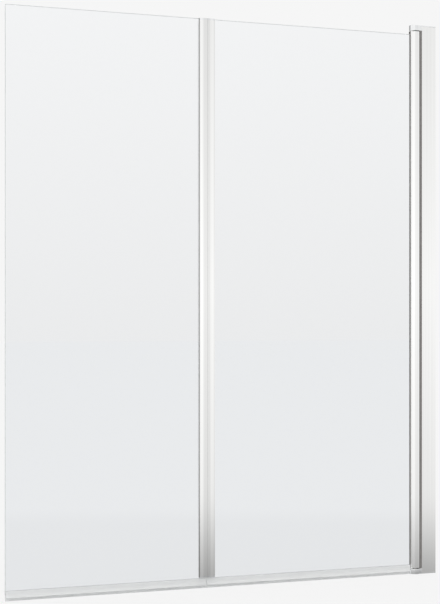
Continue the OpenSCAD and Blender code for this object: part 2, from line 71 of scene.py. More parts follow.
SINK = (2.85, 1.55, 1.6)  # Wide and narrow radius of a countersunk hole, and its depth.

Point = tuple[float, float, float]
Test = Callable[[Vector, Vector], bool]
Value = float | tuple[float, ...] | bpy.types.NodeSocket


class Body(Enum):
    """Moving bodies of the screen."""

    WALL_SIDE = "wall_side"
    INNER_PANEL = "inner_panel"
    OUTER_PANEL = "outer_panel"


class Slot(Enum):
    """Material slots of the record."""

    ALUMINIUM = "polished_aluminium"
    CHROME = "chromed_cap"
    STEEL = "stainless_steel"
    RUBBER = "dark_rubber"
    NYLON = "nylon"
    GLASS = "toughened_glass"
    CLEAR_PVC = "clear_pvc"


class Axis(Enum):
    """Direction along which a rod lies, as the turn of an upright cylinder."""

    Y = (-math.pi / 2, 0.0, 0.0)
    Z = (0.0, 0.0, 0.0)


class Kind(Enum):
    """What an edit step selects, as Blender's vertex, edge and face switches."""

    VERTS = (True, False, False)
    EDGES = (False, True, False)
    FACES = (False, False, True)


class Side(Enum):
    """Side of the seam on which a half of the middle hinge lies, as a sign along X."""

    OUTER = -1
    INNER = 1

    @property
    def body(self) -> Body:
        """Returns the body that this half rides on."""
        return Body.INNER_PANEL if self is Side.INNER else Body.OUTER_PANEL

    @property
    def word(self) -> str:
        """Returns the side's word in the names of nodes and pieces."""
        return self.name.lower()


def scaled(values: Sequence[float]) -> tuple[float, ...]:
    """Turns millimetres to the metres that Blender uses."""
    return tuple(value * MM for value in values)


def node_box(node: str) -> tuple[Point, Point]:
    """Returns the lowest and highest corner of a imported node, in millimetres."""
    low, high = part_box(node)
    return tuple(v / MM for v in low), tuple(v / MM for v in high)


def axis_of(node: str) -> tuple[float, float]:
    """Returns the X and Y of the middle of an upright node, in millimetres."""
    low, high = node_box(node)
    return (low[0] + high[0]) / 2, (low[1] + high[1]) / 2


def linear(hex_colour: str) -> tuple[float, float, float, float]:
    """Turns an sRGB hex colour to linear red, green, blue and alpha."""
    parts = [int(hex_colour[i : i + 2], 16) / 255 for i in (0, 2, 4)]
    return (*(p / 12.92 if p <= 0.04045 else ((p + 0.055) / 1.055) ** 2.4 for p in parts), 1.0)


def grey(level: float) -> tuple[float, float, float, float]:
    """Returns a neutral linear colour of the given level."""
    return (level, level, level, 1.0)


def add_node(
    tree: bpy.types.NodeTree,
    kind: str,
    settings: dict | None = None,
    inputs: dict | None = None,
    stops: Sequence[tuple[float, tuple]] = (),
) -> bpy.types.Node:
    """Adds one node with its settings and its links.

    Args:
        tree: Node tree that gets the node.
        kind: Blender's name of the node type.
        settings: Values of the node's own properties.
        inputs: A value or another node's output for each named or numbered input.
        stops: Positions and colours of a colour ramp.

    Returns:
        The new node.
    """
    node = tree.nodes.new(kind)
    for name, value in (settings or {}).items():
        setattr(node, name, value)
    for key, value in (inputs or {}).items():
        if isinstance(value, bpy.types.NodeSocket):
            tree.links.new(value, node.inputs[key])
        else:
            node.inputs[key].default_value = value
    if stops:
        ramp = node.color_ramp
        while len(ramp.elements) < len(stops):
            ramp.elements.new(1.0)
        for element, (place, colour) in zip(ramp.elements, stops):
            element.position, element.color = place, colour
    return node


def mix_colours(
    tree: bpy.types.NodeTree, share: bpy.types.NodeSocket, first: Value, second: Value
) -> bpy.types.NodeSocket:
    """Mixes two colours.

    Args:
        tree: Node tree.
        share: Output that is 0 for the first colour, and 1 or more for the second.
        first: Colour or output.
        second: Colour or output.

    Returns:
        The mixed colour.
    """
    mixed = add_node(tree, "ShaderNodeMix", {"data_type": "RGBA"}, {0: share, 6: first, 7: second})
    return mixed.outputs[2]


# ---- Finishes ----


@dataclass(frozen=True)
class Finish(ABC):
    """A finish that makes its material once and hands it out after that."""

    name: str

    def material(self) -> bpy.types.Material:
        """Makes the finish's material the first time and finds it after that.

        Returns:
            The material.
        """
        found = bpy.data.materials.get(self.name)
        if found:
            return found
        made = bpy.data.materials.new(self.name)
        made.use_nodes = True
        tree = made.node_tree
        tree.nodes.clear()
        shader = add_node(tree, "ShaderNodeBsdfPrincipled")
        add_node(tree, "ShaderNodeOutputMaterial", inputs={"Surface": shader.outputs["BSDF"]})
        self.dress(tree, shader)
        return made

    @abstractmethod
    def dress(self, tree: bpy.types.NodeTree, shader: bpy.types.Node) -> None:
        """Adds the finish's pattern and sets its shader.

        Args:
            tree: The material's node tree.
            shader: Its principled shader.
        """

    def grain(self, tree: bpy.types.NodeTree, pitch: Point, detail: float = 2.0) -> bpy.types.NodeSocket:
        """Adds a noise whose cells have the given sizes along X, Y and Z.

        Args:
            tree: The material's node tree.
            pitch: Size of a cell along each axis, in millimetres.
            detail: Number of finer layers.

        Returns:
            The noise's value, about 0.5 on average.
        """
        place = add_node(tree, "ShaderNodeTexCoord")
        turned = add_node(
            tree,
            "ShaderNodeMapping",
            inputs={"Vector": place.outputs["Object"], "Scale": tuple(1 / (p * MM) for p in pitch)},
        )
        noise = add_node(
            tree,
            "ShaderNodeTexNoise",
            inputs={"Vector": turned.outputs["Vector"], "Scale": 1.0, "Detail": detail},
        )
        return noise.outputs["Fac"]

    def relief(
        self, tree: bpy.types.NodeTree, value: bpy.types.NodeSocket, height: float
    ) -> bpy.types.NodeSocket:
        """Turns a noise to a bump of a height in millimetres.

        Args:
            tree: The material's node tree.
            value: The noise.
            height: Height of the bump in millimetres.

        Returns:
            The bumped normal.
        """
        bump = add_node(
            tree, "ShaderNodeBump", inputs={"Height": value, "Distance": height * MM, "Strength": 1.0}
        )
        return bump.outputs["Normal"]


@dataclass(frozen=True)
class GrainedFinish(Finish):
    """A finish whose colour, roughness and relief each follow a noise."""

    low: str
    high: str
    smooth: float
    dull: float
    depth: float

    def spread(
        self, tree: bpy.types.NodeTree, value: bpy.types.NodeSocket, low: float, high: float
    ) -> bpy.types.NodeSocket:
        """Spreads a noise between two values.

        Args:
            tree: The material's node tree.
            value: The noise.
            low: Result where the noise is low.
            high: Result where it is high.

        Returns:
            The spread value.
        """
        least, most = NOISE_RANGE
        inputs = {"Value": value, "From Min": least, "From Max": most, "To Min": low, "To Max": high}
        return add_node(tree, "ShaderNodeMapRange", inputs=inputs).outputs["Result"]

    def tint(self, tree: bpy.types.NodeTree, value: bpy.types.NodeSocket) -> bpy.types.NodeSocket:
        """Mixes the finish's two colours by a noise.

        Args:
            tree: The material's node tree.
            value: The noise.

        Returns:
            The mixed colour.
        """
        share = self.spread(tree, value, 0.0, 1.0)
        return mix_colours(tree, share, linear(self.low), linear(self.high))

    def lay(
        self,
        tree: bpy.types.NodeTree,
        shader: bpy.types.Node,
        colour: bpy.types.NodeSocket,
        gloss: bpy.types.NodeSocket,
        height: bpy.types.NodeSocket,
    ) -> None:
        """Links the finish's noises to its shader.

        Args:
            tree: The material's node tree.
            shader: Its principled shader.
            colour: Noise of the colour.
            gloss: Noise of the roughness.
            height: Noise of the relief.
        """
        add = tree.links.new
        add(self.tint(tree, colour), shader.inputs["Base Color"])
        add(self.spread(tree, gloss, self.smooth, self.dull), shader.inputs["Roughness"])
        add(self.relief(tree, height, self.depth), shader.inputs["Normal"])


@dataclass(frozen=True)
class BrightAluminium(GrainedFinish):
    """Extruded aluminium, mechanically polished and bright anodised.

    The die leaves faint lines along the profile, which show as slight streaks in an
    otherwise mirror-like face. Real die lines are about 0.3 mm apart. They are drawn
    2 mm apart so that they show.
    """

    low: str = "F3F3F2"
    high: str = "F8F8F7"
    smooth: float = 0.03
    dull: float = 0.07
    depth: float = 0.003
    line: float = 2.0
    run: float = 900.0

    def dress(self, tree: bpy.types.NodeTree, shader: bpy.types.Node) -> None:
        """Draws the die lines in colour, gloss and relief.

        Args:
            tree: The material's node tree.
            shader: Its principled shader.
        """
        lines = self.grain(tree, (self.line, self.line, self.run))
        self.lay(tree, shader, lines, lines, lines)
        shader.inputs["Metallic"].default_value = 1.0


@dataclass(frozen=True)
class ChromedZinc(GrainedFinish):
    """Zinc die casting, buffed and chrome plated.

    Buffing leaves a soft waviness a few millimetres wide under a mirror finish, and a
    much finer haze in its gloss.
    """

    low: str = "EDEEEF"
    high: str = "F4F5F5"
    smooth: float = 0.05
    dull: float = 0.1
    depth: float = 0.006
    wave: float = 5.0
    haze: float = 0.625

    def dress(self, tree: bpy.types.NodeTree, shader: bpy.types.Node) -> None:
        """Draws the buffed waviness and the haze.

        Args:
            tree: The material's node tree.
            shader: Its principled shader.
        """
        waves = self.grain(tree, (self.wave,) * 3)
        haze = self.grain(tree, (self.haze,) * 3)
        self.lay(tree, shader, waves, haze, waves)
        shader.inputs["Metallic"].default_value = 1.0


@dataclass(frozen=True)
class TurnedSteel(GrainedFinish):
    """Stainless steel rod, turned and passivated, with fine tool marks across its length."""

    low: str = "B4B3B0"
    high: str = "CBCAC7"
    smooth: float = 0.22
    dull: float = 0.34
    depth: float = 0.01
    mark: float = 0.4
    reach: float = 1.6

    def dress(self, tree: bpy.types.NodeTree, shader: bpy.types.Node) -> None:
        """Draws the tool marks.

        Args:
            tree: The material's node tree.
            shader: Its principled shader.
        """
        marks = self.grain(tree, (self.reach, self.reach, self.mark), detail=3.0)
        self.lay(tree, shader, marks, marks, marks)
        shader.inputs["Metallic"].default_value = 1.0


@dataclass(frozen=True)
class ExtrudedRubber(GrainedFinish):
    """Dark EPDM rubber, extruded and talc dusted, so that it is dull with faint lines along it."""

    low: str = "7A7775"
    high: str = "888583"
    smooth: float = 0.48
    dull: float = 0.66
    depth: float = 0.03
    line: float = 0.8
    run: float = 48.0
    bloom: float = 6.0

    def dress(self, tree: bpy.types.NodeTree, shader: bpy.types.Node) -> None:
        """Draws the extrusion lines and the dull bloom.

        Args:
            tree: The material's node tree.
            shader: Its principled shader.
        """
        lines = self.grain(tree, (self.line, self.line, self.run))
        bloom = self.grain(tree, (self.bloom,) * 3, detail=4.0)
        self.lay(tree, shader, bloom, bloom, lines)


@dataclass(frozen=True)
class GlazingStrip(ExtrudedRubber):
    """Grey glazing gasket of soft PVC, a little paler than the black rubber of the post."""

    low: str = "9C9996"
    high: str = "AAA7A4"


@dataclass(frozen=True)
class MouldedNylon(GrainedFinish):
    """Natural nylon, injection moulded: off white, a little translucent, with a satin skin."""

    low: str = "E2E0D8"
    high: str = "ECEAE3"
    smooth: float = 0.38
    dull: float = 0.5
    depth: float = 0.02
    flow: float = 3.0
    cloud: float = 0.15
    cloud_depth: float = 1.5

    def dress(self, tree: bpy.types.NodeTree, shader: bpy.types.Node) -> None:
        """Draws the satin skin over a body that lets a little light in.

        Args:
            tree: The material's node tree.
            shader: Its principled shader.
        """
        flow = self.grain(tree, (self.flow,) * 3, detail=3.0)
        self.lay(tree, shader, flow, flow, flow)
        shader.inputs["Subsurface Weight"].default_value = self.cloud
        shader.inputs["Subsurface Scale"].default_value = self.cloud_depth * MM


@dataclass(frozen=True)
class ToughenedGlass(Finish):
    """Float glass of 6 mm, toughened on rollers.

    It is clear with a slight cool tint. The rollers leave a very shallow wave about
    300 mm long, which bends its reflections a little.
    """

    body: str = "FAFBFC"
    index: float = 1.52
    roller: float = 300.0
    depth: float = 0.02

    def dress(self, tree: bpy.types.NodeTree, shader: bpy.types.Node) -> None:
        """Sets the clear body and its roller wave.

        Args:
            tree: The material's node tree.
            shader: Its principled shader.
        """
        wave = self.grain(tree, (2 * self.roller, self.roller, self.roller), detail=1.0)
        tree.links.new(self.relief(tree, wave, self.depth), shader.inputs["Normal"])
        shader.inputs["Base Color"].default_value = linear(self.body)
        shader.inputs["Transmission Weight"].default_value = 1.0
        shader.inputs["Roughness"].default_value = 0.0
        shader.inputs["IOR"].default_value = self.index


@dataclass(frozen=True)
class GroundEdge(GrainedFinish):
    """Ground and polished edge of the glass: satin, and greener because it is seen endways."""

    low: str = "EEF4F2"
    high: str = "F6F9F8"
    smooth: float = 0.25
    dull: float = 0.4
    depth: float = 0.01
    grit: float = 0.6
    clear: float = 0.4
    index: float = 1.52

    def dress(self, tree: bpy.types.NodeTree, shader: bpy.types.Node) -> None:
        """Draws the grinding marks.

        Args:
            tree: The material's node tree.
            shader: Its principled shader.
        """
        marks = self.grain(tree, (self.grit,) * 3, detail=3.0)
        self.lay(tree, shader, marks, marks, marks)
        shader.inputs["Transmission Weight"].default_value = self.clear
        shader.inputs["IOR"].default_value = self.index


@dataclass(frozen=True)
class ClearPvc(GrainedFinish):
    """Clear soft PVC, extruded: it has gone milky, so that light spreads in it, with lines along it."""

    low: str = "F8FAFA"
    high: str = "FDFEFE"
    smooth: float = 0.1
    dull: float = 0.22
    depth: float = 0.02
    line: float = 1.0
    run: float = 200.0
    clear: float = 0.2
    index: float = 1.53

    def dress(self, tree: bpy.types.NodeTree, shader: bpy.types.Node) -> None:
        """Draws the extrusion lines along X.

        Args:
            tree: The material's node tree.
            shader: Its principled shader.
        """
        lines = self.grain(tree, (self.run, self.line, self.line))
        self.lay(tree, shader, lines, lines, lines)
        shader.inputs["Transmission Weight"].default_value = self.clear
        shader.inputs["IOR"].default_value = self.index


@dataclass(frozen=True)
class MillAluminium(GrainedFinish):
    """Extruded aluminium left as the mill made it: grey, satin, with drawn lines."""

    low: str = "B9BBBD"
    high: str = "CDCFD0"
    smooth: float = 0.28
    dull: float = 0.42
    depth: float = 0.02
    line: float = 1.5
    run: float = 500.0

    def dress(self, tree: bpy.types.NodeTree, shader: bpy.types.Node) -> None:
        """Draws the drawn lines.

        Args:
            tree: The material's node tree.
            shader: Its principled shader.
        """
        lines = self.grain(tree, (self.line, self.line, self.run), detail=3.0)
        self.lay(tree, shader, lines, lines, lines)
        shader.inputs["Metallic"].default_value = 1.0


ALUMINIUM = BrightAluminium("bright_anodised_aluminium")
CHROME = ChromedZinc("chrome_plated_zinc")
STEEL = TurnedSteel("turned_stainless_steel")
RUBBER = ExtrudedRubber("extruded_epdm_rubber")
GASKET = GlazingStrip("extruded_soft_pvc")
NYLON = MouldedNylon("moulded_nylon")
GLASS = ToughenedGlass("toughened_float_glass")
GLASS_EDGE = GroundEdge("ground_glass_edge")
CLEAR_PVC = ClearPvc("extruded_clear_pvc")
MILL = MillAluminium("mill_finish_aluminium")


# ---- The bench ----


class Workpiece:
    """One mesh on the bench, shaped by edit steps whose lengths are in millimetres."""

    def __init__(self, obj: bpy.types.Object) -> None:
        """Takes an object whose place is in its mesh."""
        self.obj = obj

    @staticmethod
    def take_new(name: str) -> Workpiece:
        """Names the primitive that was just added and puts its place into its mesh.

        Args:
            name: Name of the piece.

        Returns:
            The new piece.
        """
        obj = bpy.context.object
        obj.name = obj.data.name = name
        bpy.ops.object.transform_apply(location=True, rotation=True, scale=True)
        return Workpiece(obj)

    @classmethod
    def block(cls, name: str, low: Point, high: Point) -> Workpiece:
        """Starts from a cube between two corners.

        Args:
            name: Name of the piece.
            low: Lowest corner.
            high: Highest corner.

        Returns:
            The new piece.
        """
        bpy.ops.object.select_all(action="DESELECT")
        centre = [(a + b) / 2 for a, b in zip(low, high)]
        bpy.ops.mesh.primitive_cube_add(size=1.0, location=scaled(centre))
        bpy.context.object.scale = scaled([b - a for a, b in zip(low, high)])
        return cls.take_new(name)

    @classmethod
    def rod(
        cls,
        name: str,
        foot: Point,
        radius: float,
        length: float,
        axis: Axis = Axis.Z,
        sides: int = 64,
        tip: float | None = None,
    ) -> Workpiece:
        """Starts from a round bar that stands on its foot.

        Args:
            name: Name of the piece.
            foot: Centre of the foot.
            radius: Radius at the foot.
            length: Length along the axis.
            axis: Axis along which it lies.
            sides: Number of sides.
            tip: Radius at the other end, the same if it is None.

        Returns:
            The new piece.
        """
        bpy.ops.object.select_all(action="DESELECT")
        half = length / 2
        middle = {
            Axis.Z: (foot[0], foot[1], foot[2] + half),
            Axis.Y: (foot[0], foot[1] + half, foot[2]),
        }[axis]
        bpy.ops.mesh.primitive_cone_add(
            vertices=sides,
            radius1=radius * MM,
            radius2=(radius if tip is None else tip) * MM,
            depth=length * MM,
            location=scaled(middle),
            rotation=axis.value,
        )
        return cls.take_new(name)

    @classmethod
    def sheet(cls, name: str, x: float, low: tuple[float, float], high: tuple[float, float]) -> Workpiece:
        """Starts from a plane that stands across X, for a section that is drawn out later.

        Args:
            name: Name of the piece.
            x: Place of the plane.
            low: Lowest Y and Z.
            high: Highest Y and Z.

        Returns:
            The new piece.
        """
        bpy.ops.object.select_all(action="DESELECT")
        centre = (x, (low[0] + high[0]) / 2, (low[1] + high[1]) / 2)
        bpy.ops.mesh.primitive_plane_add(
            size=1.0, location=scaled(centre), rotation=(0.0, math.pi / 2, 0.0)
        )
        bpy.context.object.scale = (MM * (high[1] - low[1]), MM * (high[0] - low[0]), 1.0)
        return cls.take_new(name)

    def activate(self) -> None:
        """Makes the piece the only selected and active object."""
        bpy.ops.object.select_all(action="DESELECT")
        self.obj.select_set(True)
        bpy.context.view_layer.objects.active = self.obj

    def pick(self, kind: Kind, test: Test) -> int:
        """Opens the piece in edit mode and selects what passes a test.

        Args:
            kind: Whether vertices, edges or faces are selected.
            test: Takes a place in millimetres and a direction: a vertex's or face's normal,
                or an edge's run.

        Returns:
            How many were selected.
        """
        self.activate()
        bpy.ops.object.mode_set(mode="EDIT")
        bpy.context.tool_settings.mesh_select_mode = kind.value
        bpy.ops.mesh.select_all(action="DESELECT")
        mesh = bmesh.from_edit_mesh(self.obj.data)
        found = 0
        if kind is Kind.VERTS:
            items = [(v, v.co / MM, v.normal) for v in mesh.verts]
        elif kind is Kind.EDGES:
            items = [
                (e, (e.verts[0].co + e.verts[1].co) / (2 * MM), (e.verts[1].co - e.verts[0].co).normalized())
                for e in mesh.edges
            ]
        else:
            items = [(f, f.calc_center_median() / MM, f.normal) for f in mesh.faces]
        for item, place, direction in items:
            if test(place, direction):
                item.select_set(True)
                found += 1
        mesh.select_flush_mode()
        bmesh.update_edit_mesh(self.obj.data)
        return found

    def close(self) -> Workpiece:
        """Leaves edit mode."""
        bpy.ops.object.mode_set(mode="OBJECT")
        return self

    def round_edges(self, width: float, steps: int, test: Test) -> Workpiece:
        """Rounds the edges that pass a test.

        Args:
            width: Width of the rounding.
            steps: Number of its facets.
            test: Takes an edge's middle and direction.

        Returns:
            The piece itself.
        """
        found = self.pick(Kind.EDGES, test)
        if found:
            bpy.ops.mesh.bevel(offset=width * MM, segments=steps, affect="EDGES")
        else:
            LOG.warning("%s: no edge to round", self.obj.name)
        return self.close()

    def pull(self, kind: Kind, test: Test, shift: Point) -> Workpiece:
        """Extrudes the edges or faces that pass a test.

        Args:
            kind: Edges or faces.
            test: Takes a place and a direction.
            shift: How far they go.

        Returns:
            The piece itself.
        """
        if not self.pick(kind, test):
            LOG.warning("%s: nothing to extrude", self.obj.name)
        bpy.ops.mesh.extrude_region_move(TRANSFORM_OT_translate={"value": scaled(shift)})
        return self.close()

    def step_in(self, test: Test, width: float, depth: float) -> Workpiece:
        """Insets the faces that pass a test and sinks or raises them.

        Args:
            test: Takes a face's middle and normal.
            width: Width of the inset.
            depth: Depth along the normal, negative into the piece.

        Returns:
            The piece itself.
        """
        if not self.pick(Kind.FACES, test):
            LOG.warning("%s: no face to inset", self.obj.name)
        bpy.ops.mesh.inset(thickness=width * MM, depth=0.0)
        if depth:
            faces = bmesh.from_edit_mesh(self.obj.data).faces
            facing = next(f.normal.copy() for f in faces if f.select)
            bpy.ops.mesh.extrude_region_move(
                TRANSFORM_OT_translate={"value": tuple(facing * depth * MM)}
            )
        return self.close()

    def split(self, place: Point, normal: Point) -> Workpiece:
        """Cuts the whole mesh along a plane and keeps both sides.

        Args:
            place: A point of the plane.
            normal: The plane's normal.

        Returns:
            The piece itself.
        """
        self.pick(Kind.FACES, lambda _place, _direction: True)
        bpy.ops.mesh.bisect(plane_co=scaled(place), plane_no=normal)
        return self.close()

    def tool(self, other: Workpiece, operation: str) -> Workpiece:
        """Applies a boolean with another piece, which is used up.

        Args:
            other: The other piece.
            operation: Blender's name of the boolean.

        Returns:
            The piece itself.
        """
        self.activate()
        step = self.obj.modifiers.new(operation.lower(), "BOOLEAN")
        step.operation, step.object, step.solver = operation, other.obj, "EXACT"
        bpy.ops.object.modifier_apply(modifier=step.name)
        mesh = other.obj.data
        bpy.data.objects.remove(other.obj)
        bpy.data.meshes.remove(mesh)
        return self

    def cut(self, *others: Workpiece) -> Workpiece:
        """Cuts the other pieces out of this one.

        Args:
            others: The other pieces, which are used up.

        Returns:
            The piece itself.
        """
        for other in others:
            self.tool(other, "DIFFERENCE")
        return self

    def fuse(self, *others: Workpiece) -> Workpiece:
        """Fuses the other pieces to this one.

        Args:
            others: The other pieces, which are used up.

        Returns:
            The piece itself.
        """
        for other in others:
            self.tool(other, "UNION")
        return self

    def trim(self, other: Workpiece) -> Workpiece:
        """Keeps what lies inside the other piece."""
        return self.tool(other, "INTERSECT")

    def clean(self) -> Workpiece:
        """Merges doubles and turns the faces outwards.

        Returns:
            The piece itself.
        """
        self.pick(Kind.VERTS, lambda _place, _direction: True)
        bpy.ops.mesh.remove_doubles(threshold=WELD * MM)
        bpy.ops.mesh.normals_make_consistent(inside=False)
        return self.close()

    def copy(self, name: str, shift: Point = (0.0, 0.0, 0.0)) -> Workpiece:
        """Copies the piece with its own mesh.

        Args:
            name: Name of the copy.
            shift: Where it goes from the first one.

        Returns:
            The copy.
        """
        self.activate()
        bpy.ops.object.duplicate()
        bpy.ops.transform.translate(value=scaled(shift))
        return self.take_new(name)

    def flipped(self, name: str, middle: Point, axis: Point) -> Workpiece:
        """Copies the piece to the other side of a plane.

        Args:
            name: Name of the copy.
            middle: A point of the plane.
            axis: 1 for the axis across the plane, and 0 for the others.

        Returns:
            The copy.
        """
        self.activate()
        bpy.ops.object.duplicate()
        factors = tuple(1.0 - 2.0 * a for a in axis)
        bpy.ops.transform.resize(value=factors, center_override=scaled(middle))
        return self.take_new(name).clean()

    def join(self, *others: Workpiece) -> Workpiece:
        """Joins separate solids of one kind to one piece.

        Args:
            others: The other pieces, which are used up.

        Returns:
            The piece itself.
        """
        self.activate()
        for other in others:
            other.obj.select_set(True)
        bpy.ops.object.join()
        return self

    def finish(
        self, body: Body, slot: Slot, finish: Finish, nodes: Sequence[str], angle: float = 30.0
    ) -> Workpiece:
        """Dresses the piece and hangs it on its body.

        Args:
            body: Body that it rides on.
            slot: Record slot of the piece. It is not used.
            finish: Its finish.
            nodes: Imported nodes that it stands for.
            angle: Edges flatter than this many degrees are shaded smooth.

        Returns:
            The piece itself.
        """
        self.clean()
        self.activate()
        bpy.ops.object.shade_smooth_by_angle(angle=math.radians(angle))
        even = self.obj.modifiers.new("even_shading", "WEIGHTED_NORMAL")
        even.keep_sharp = True
        bpy.ops.object.modifier_apply(modifier=even.name)
        self.obj.data.materials.clear()
        self.obj.data.materials.append(finish.material())
        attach(self.obj, body.value)
        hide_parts(*nodes)
        LOG.info("%s: %d faces, on %s", self.obj.name, len(self.obj.data.polygons), body.value)
        return self


def upright(direction: Vector) -> bool:
    """Says whether an edge runs along Z."""
    return abs(direction.z) > STRAIGHT


def level(direction: Vector) -> bool:
    """Says whether an edge lies level."""
    return abs(direction.z) < 1.0 - STRAIGHT


def countersink(foot: Point, length: float) -> tuple[Workpiece, Workpiece]:
    """Makes the cutters of a countersunk hole whose wide end looks down.

    Args:
        foot: Middle of the wide end.
        length: Length of the narrow hole.

    Returns:
        The cutters of the sink and of the hole.
    """
    x, y, z = foot
    wide, narrow, deep = SINK
    return (
        Workpiece.rod("sink", (x, y, z - HAIR), wide, deep, sides=32, tip=narrow),
        Workpiece.rod("hole", (x, y, z + deep / 2), narrow, length, sides=32),
    )


# ---- Sub-assemblies ----


@dataclass
class WallPost:
    """Post profile with its groove, screw ports and slots, and the rubber strip beside it."""

    wall: float = 1.5
    corner: float = 0.7
    joint: float = 0.4
    groove: float = 3.0
    groove_head: float = 6.0
    groove_depth: float = 2.0
    port_inset: float = 4.0
    port_wall: float = 3.2
    port_hole: float = 1.5
    slot_radius: float = 2.3
    slot_travel: float = 6.0
    slot_facets: int = 6
    slot_round: float = 0.99
    sweep_gap: float = 0.4
    stem_root: float = 0.5
    stem_back: float = 0.4
    flute: float = 0.5

    def build(self) -> None:
        """Builds the post and the gap seal."""
        self.build_post()
        self.build_gap_seal()

    def build_post(self) -> None:
        """Builds the extruded post, open to the wall."""
        low, high = node_box("post_profile")
        post = Workpiece.block("post_extrusion", low, high)
        post.round_edges(self.corner, FINE_FACETS, lambda p, d: upright(d) and p.x < low[0] + self.wall)
        post.round_edges(self.joint, FACETS, lambda p, d: level(d) and p.x < high[0] - self.wall)
        half = high[1] - self.wall
        post.cut(
            Workpiece.block(
                "hollow", (low[0] + self.wall, -half, low[2] - OVER), (high[0] + OVER, half, high[2] + OVER)
            )
        )
        boss = self.groove_head / 2 + self.wall
        post.fuse(
            Workpiece.block(
                "boss",
                (low[0] + self.wall / 2, -boss, low[2]),
                (low[0] + 2 * self.wall + self.groove_depth, boss, high[2]),
            )
        )
        port_x, port_y = low[0] + self.port_inset, high[1] - self.port_inset
        for y in (-port_y, port_y):
            post.fuse(Workpiece.rod("port", (port_x, y, low[2]), self.port_wall, high[2] - low[2], sides=32))
        for y in (-port_y, port_y):
            foot = (port_x, y, low[2] - OVER)
            post.cut(Workpiece.rod("bore", foot, self.port_hole, high[2] - low[2] + 2 * OVER, sides=24))
        head = self.groove_head / 2
        post.cut(
            Workpiece.block(
                "mouth",
                (low[0] - OVER, -self.groove / 2, low[2] - OVER),
                (low[0] + self.wall + OVER, self.groove / 2, high[2] + OVER),
            ),
            Workpiece.block(
                "head",
                (low[0] + self.wall, -head, low[2] - OVER),
                (low[0] + self.wall + self.groove_depth, head, high[2] + OVER),
            ),
        )
        reach = self.slot_travel / 2 + self.slot_radius
        for z in CLAMP_HEIGHTS:
            slot = Workpiece.block(
                "slot",
                (CLAMP_X - reach, half - OVER, z - self.slot_radius),
                (CLAMP_X + reach, high[1] + OVER, z + self.slot_radius),
            )
            slot.round_edges(
                self.slot_radius * self.slot_round, self.slot_facets, lambda p, d: abs(d.y) > STRAIGHT
            )
            post.cut(slot)
        post.finish(Body.WALL_SIDE, Slot.ALUMINIUM, ALUMINIUM, ["post_profile"])

    def build_gap_seal(self) -> None:
        """Builds the strip that closes the gap between the post and the tube."""
        low, high = node_box("gap_seal")
        post_low, _ = node_box("post_profile")
        x, y = axis_of("bottom_pivot_pin")
        sweep = node_box("pivot_tube")[1][0] - x + self.sweep_gap
        length = high[2] - low[2]
        seal = Workpiece.block("gap_strip", low, (post_low[0] - SLIP, high[1], high[2]))
        seal.cut(Workpiece.rod("sweep", (x, y, low[2] - OVER), sweep, length + 2 * OVER, sides=128))
        flute_x = (low[0] + post_low[0]) / 2
        for side in (low[1], high[1]):
            foot = (flute_x, side, low[2] - OVER)
            seal.cut(Workpiece.rod("flute", foot, self.flute, length + 2 * OVER, sides=16))
        stem = self.groove / 2 - SLIP
        head = self.groove_head / 2 - SLIP
        seal.fuse(
            Workpiece.block(
                "stem",
                (post_low[0] - self.stem_root, -stem, low[2]),
                (high[0] - self.stem_back, stem, high[2]),
            ),
            Workpiece.block(
                "foot", (post_low[0] + self.wall + SLIP, -head, low[2]), (high[0], head, high[2])
            ),
        )
        seal.finish(Body.WALL_SIDE, Slot.RUBBER, RUBBER, ["gap_seal"])


@dataclass
class BearingCaps:
    """Chromed bearing blocks with their plates over the ends of the post."""

    height: float = 14.0
    plate: float = 3.0
    edge: float = 0.9
    joint: float = 0.4
    neck: float = 12.0
    neck_x: float = -40.85
    root: float = 3.3
    ports: tuple[tuple[float, float], ...] = ((-36.8, -8.0), (-36.8, 8.0))
    lug: tuple[float, float] = (-33.4, -27.4)
    lug_half: float = 10.3
    lug_height: float = 13.0
    pin_hole: float = 2.55
    pin_seat: float = 11.0
    middle: float = 700.0

    def build(self) -> None:
        """Builds the bottom cap and turns a copy over for the top."""
        bottom = self.shape()
        top = bottom.flipped("top_bearing_block", (0.0, 0.0, self.middle), (0.0, 0.0, 1.0))
        bottom.finish(Body.WALL_SIDE, Slot.CHROME, CHROME, ["bottom_bearing_cap"])
        top.finish(Body.WALL_SIDE, Slot.CHROME, CHROME, ["top_bearing_cap"])

    def shape(self) -> Workpiece:
        """Shapes the bottom cap.

        Returns:
            The cap, without its finish.
        """
        low, high = node_box("bottom_bearing_cap")
        x, y = axis_of("bottom_pivot_pin")
        cap = Workpiece.rod("bottom_bearing_block", (x, y, 0.0), x - low[0], self.height, sides=128)
        cap.round_edges(self.edge, FINE_FACETS, lambda p, d: level(d))
        arm = Workpiece.block("arm", (x - self.root, -self.neck, 0.0), (high[0], self.neck, self.height))
        arm.cut(
            Workpiece.block(
                "rebate",
                (self.neck_x, -self.neck - OVER, self.plate),
                (high[0] + OVER, self.neck + OVER, self.height + OVER),
            )
        )
        arm.fuse(
            Workpiece.block(
                "lug",
                (self.lug[0], -self.lug_half, self.plate - OVER),
                (self.lug[1], self.lug_half, self.lug_height),
            )
        )
        arm.clean()
        arm.round_edges(
            self.edge,
            FINE_FACETS,
            lambda p, d: abs(d.x) > STRAIGHT and (p.z < HAIR or p.z > self.height - HAIR),
        )
        arm.round_edges(
            self.joint,
            FACETS,
            lambda p, d: abs(d.x) > STRAIGHT and abs(p.z - self.plate) < HAIR and abs(p.y) > self.neck - HAIR,
        )
        cap.fuse(arm)
        cap.clean()
        seat = self.height - self.pin_seat
        cap.cut(Workpiece.rod("pin", (x, y, seat), self.pin_hole, self.pin_seat + OVER, sides=32))
        for port_x, port_y in self.ports:
            cap.cut(*countersink((port_x, port_y, 0.0), self.lug_height))
        return cap


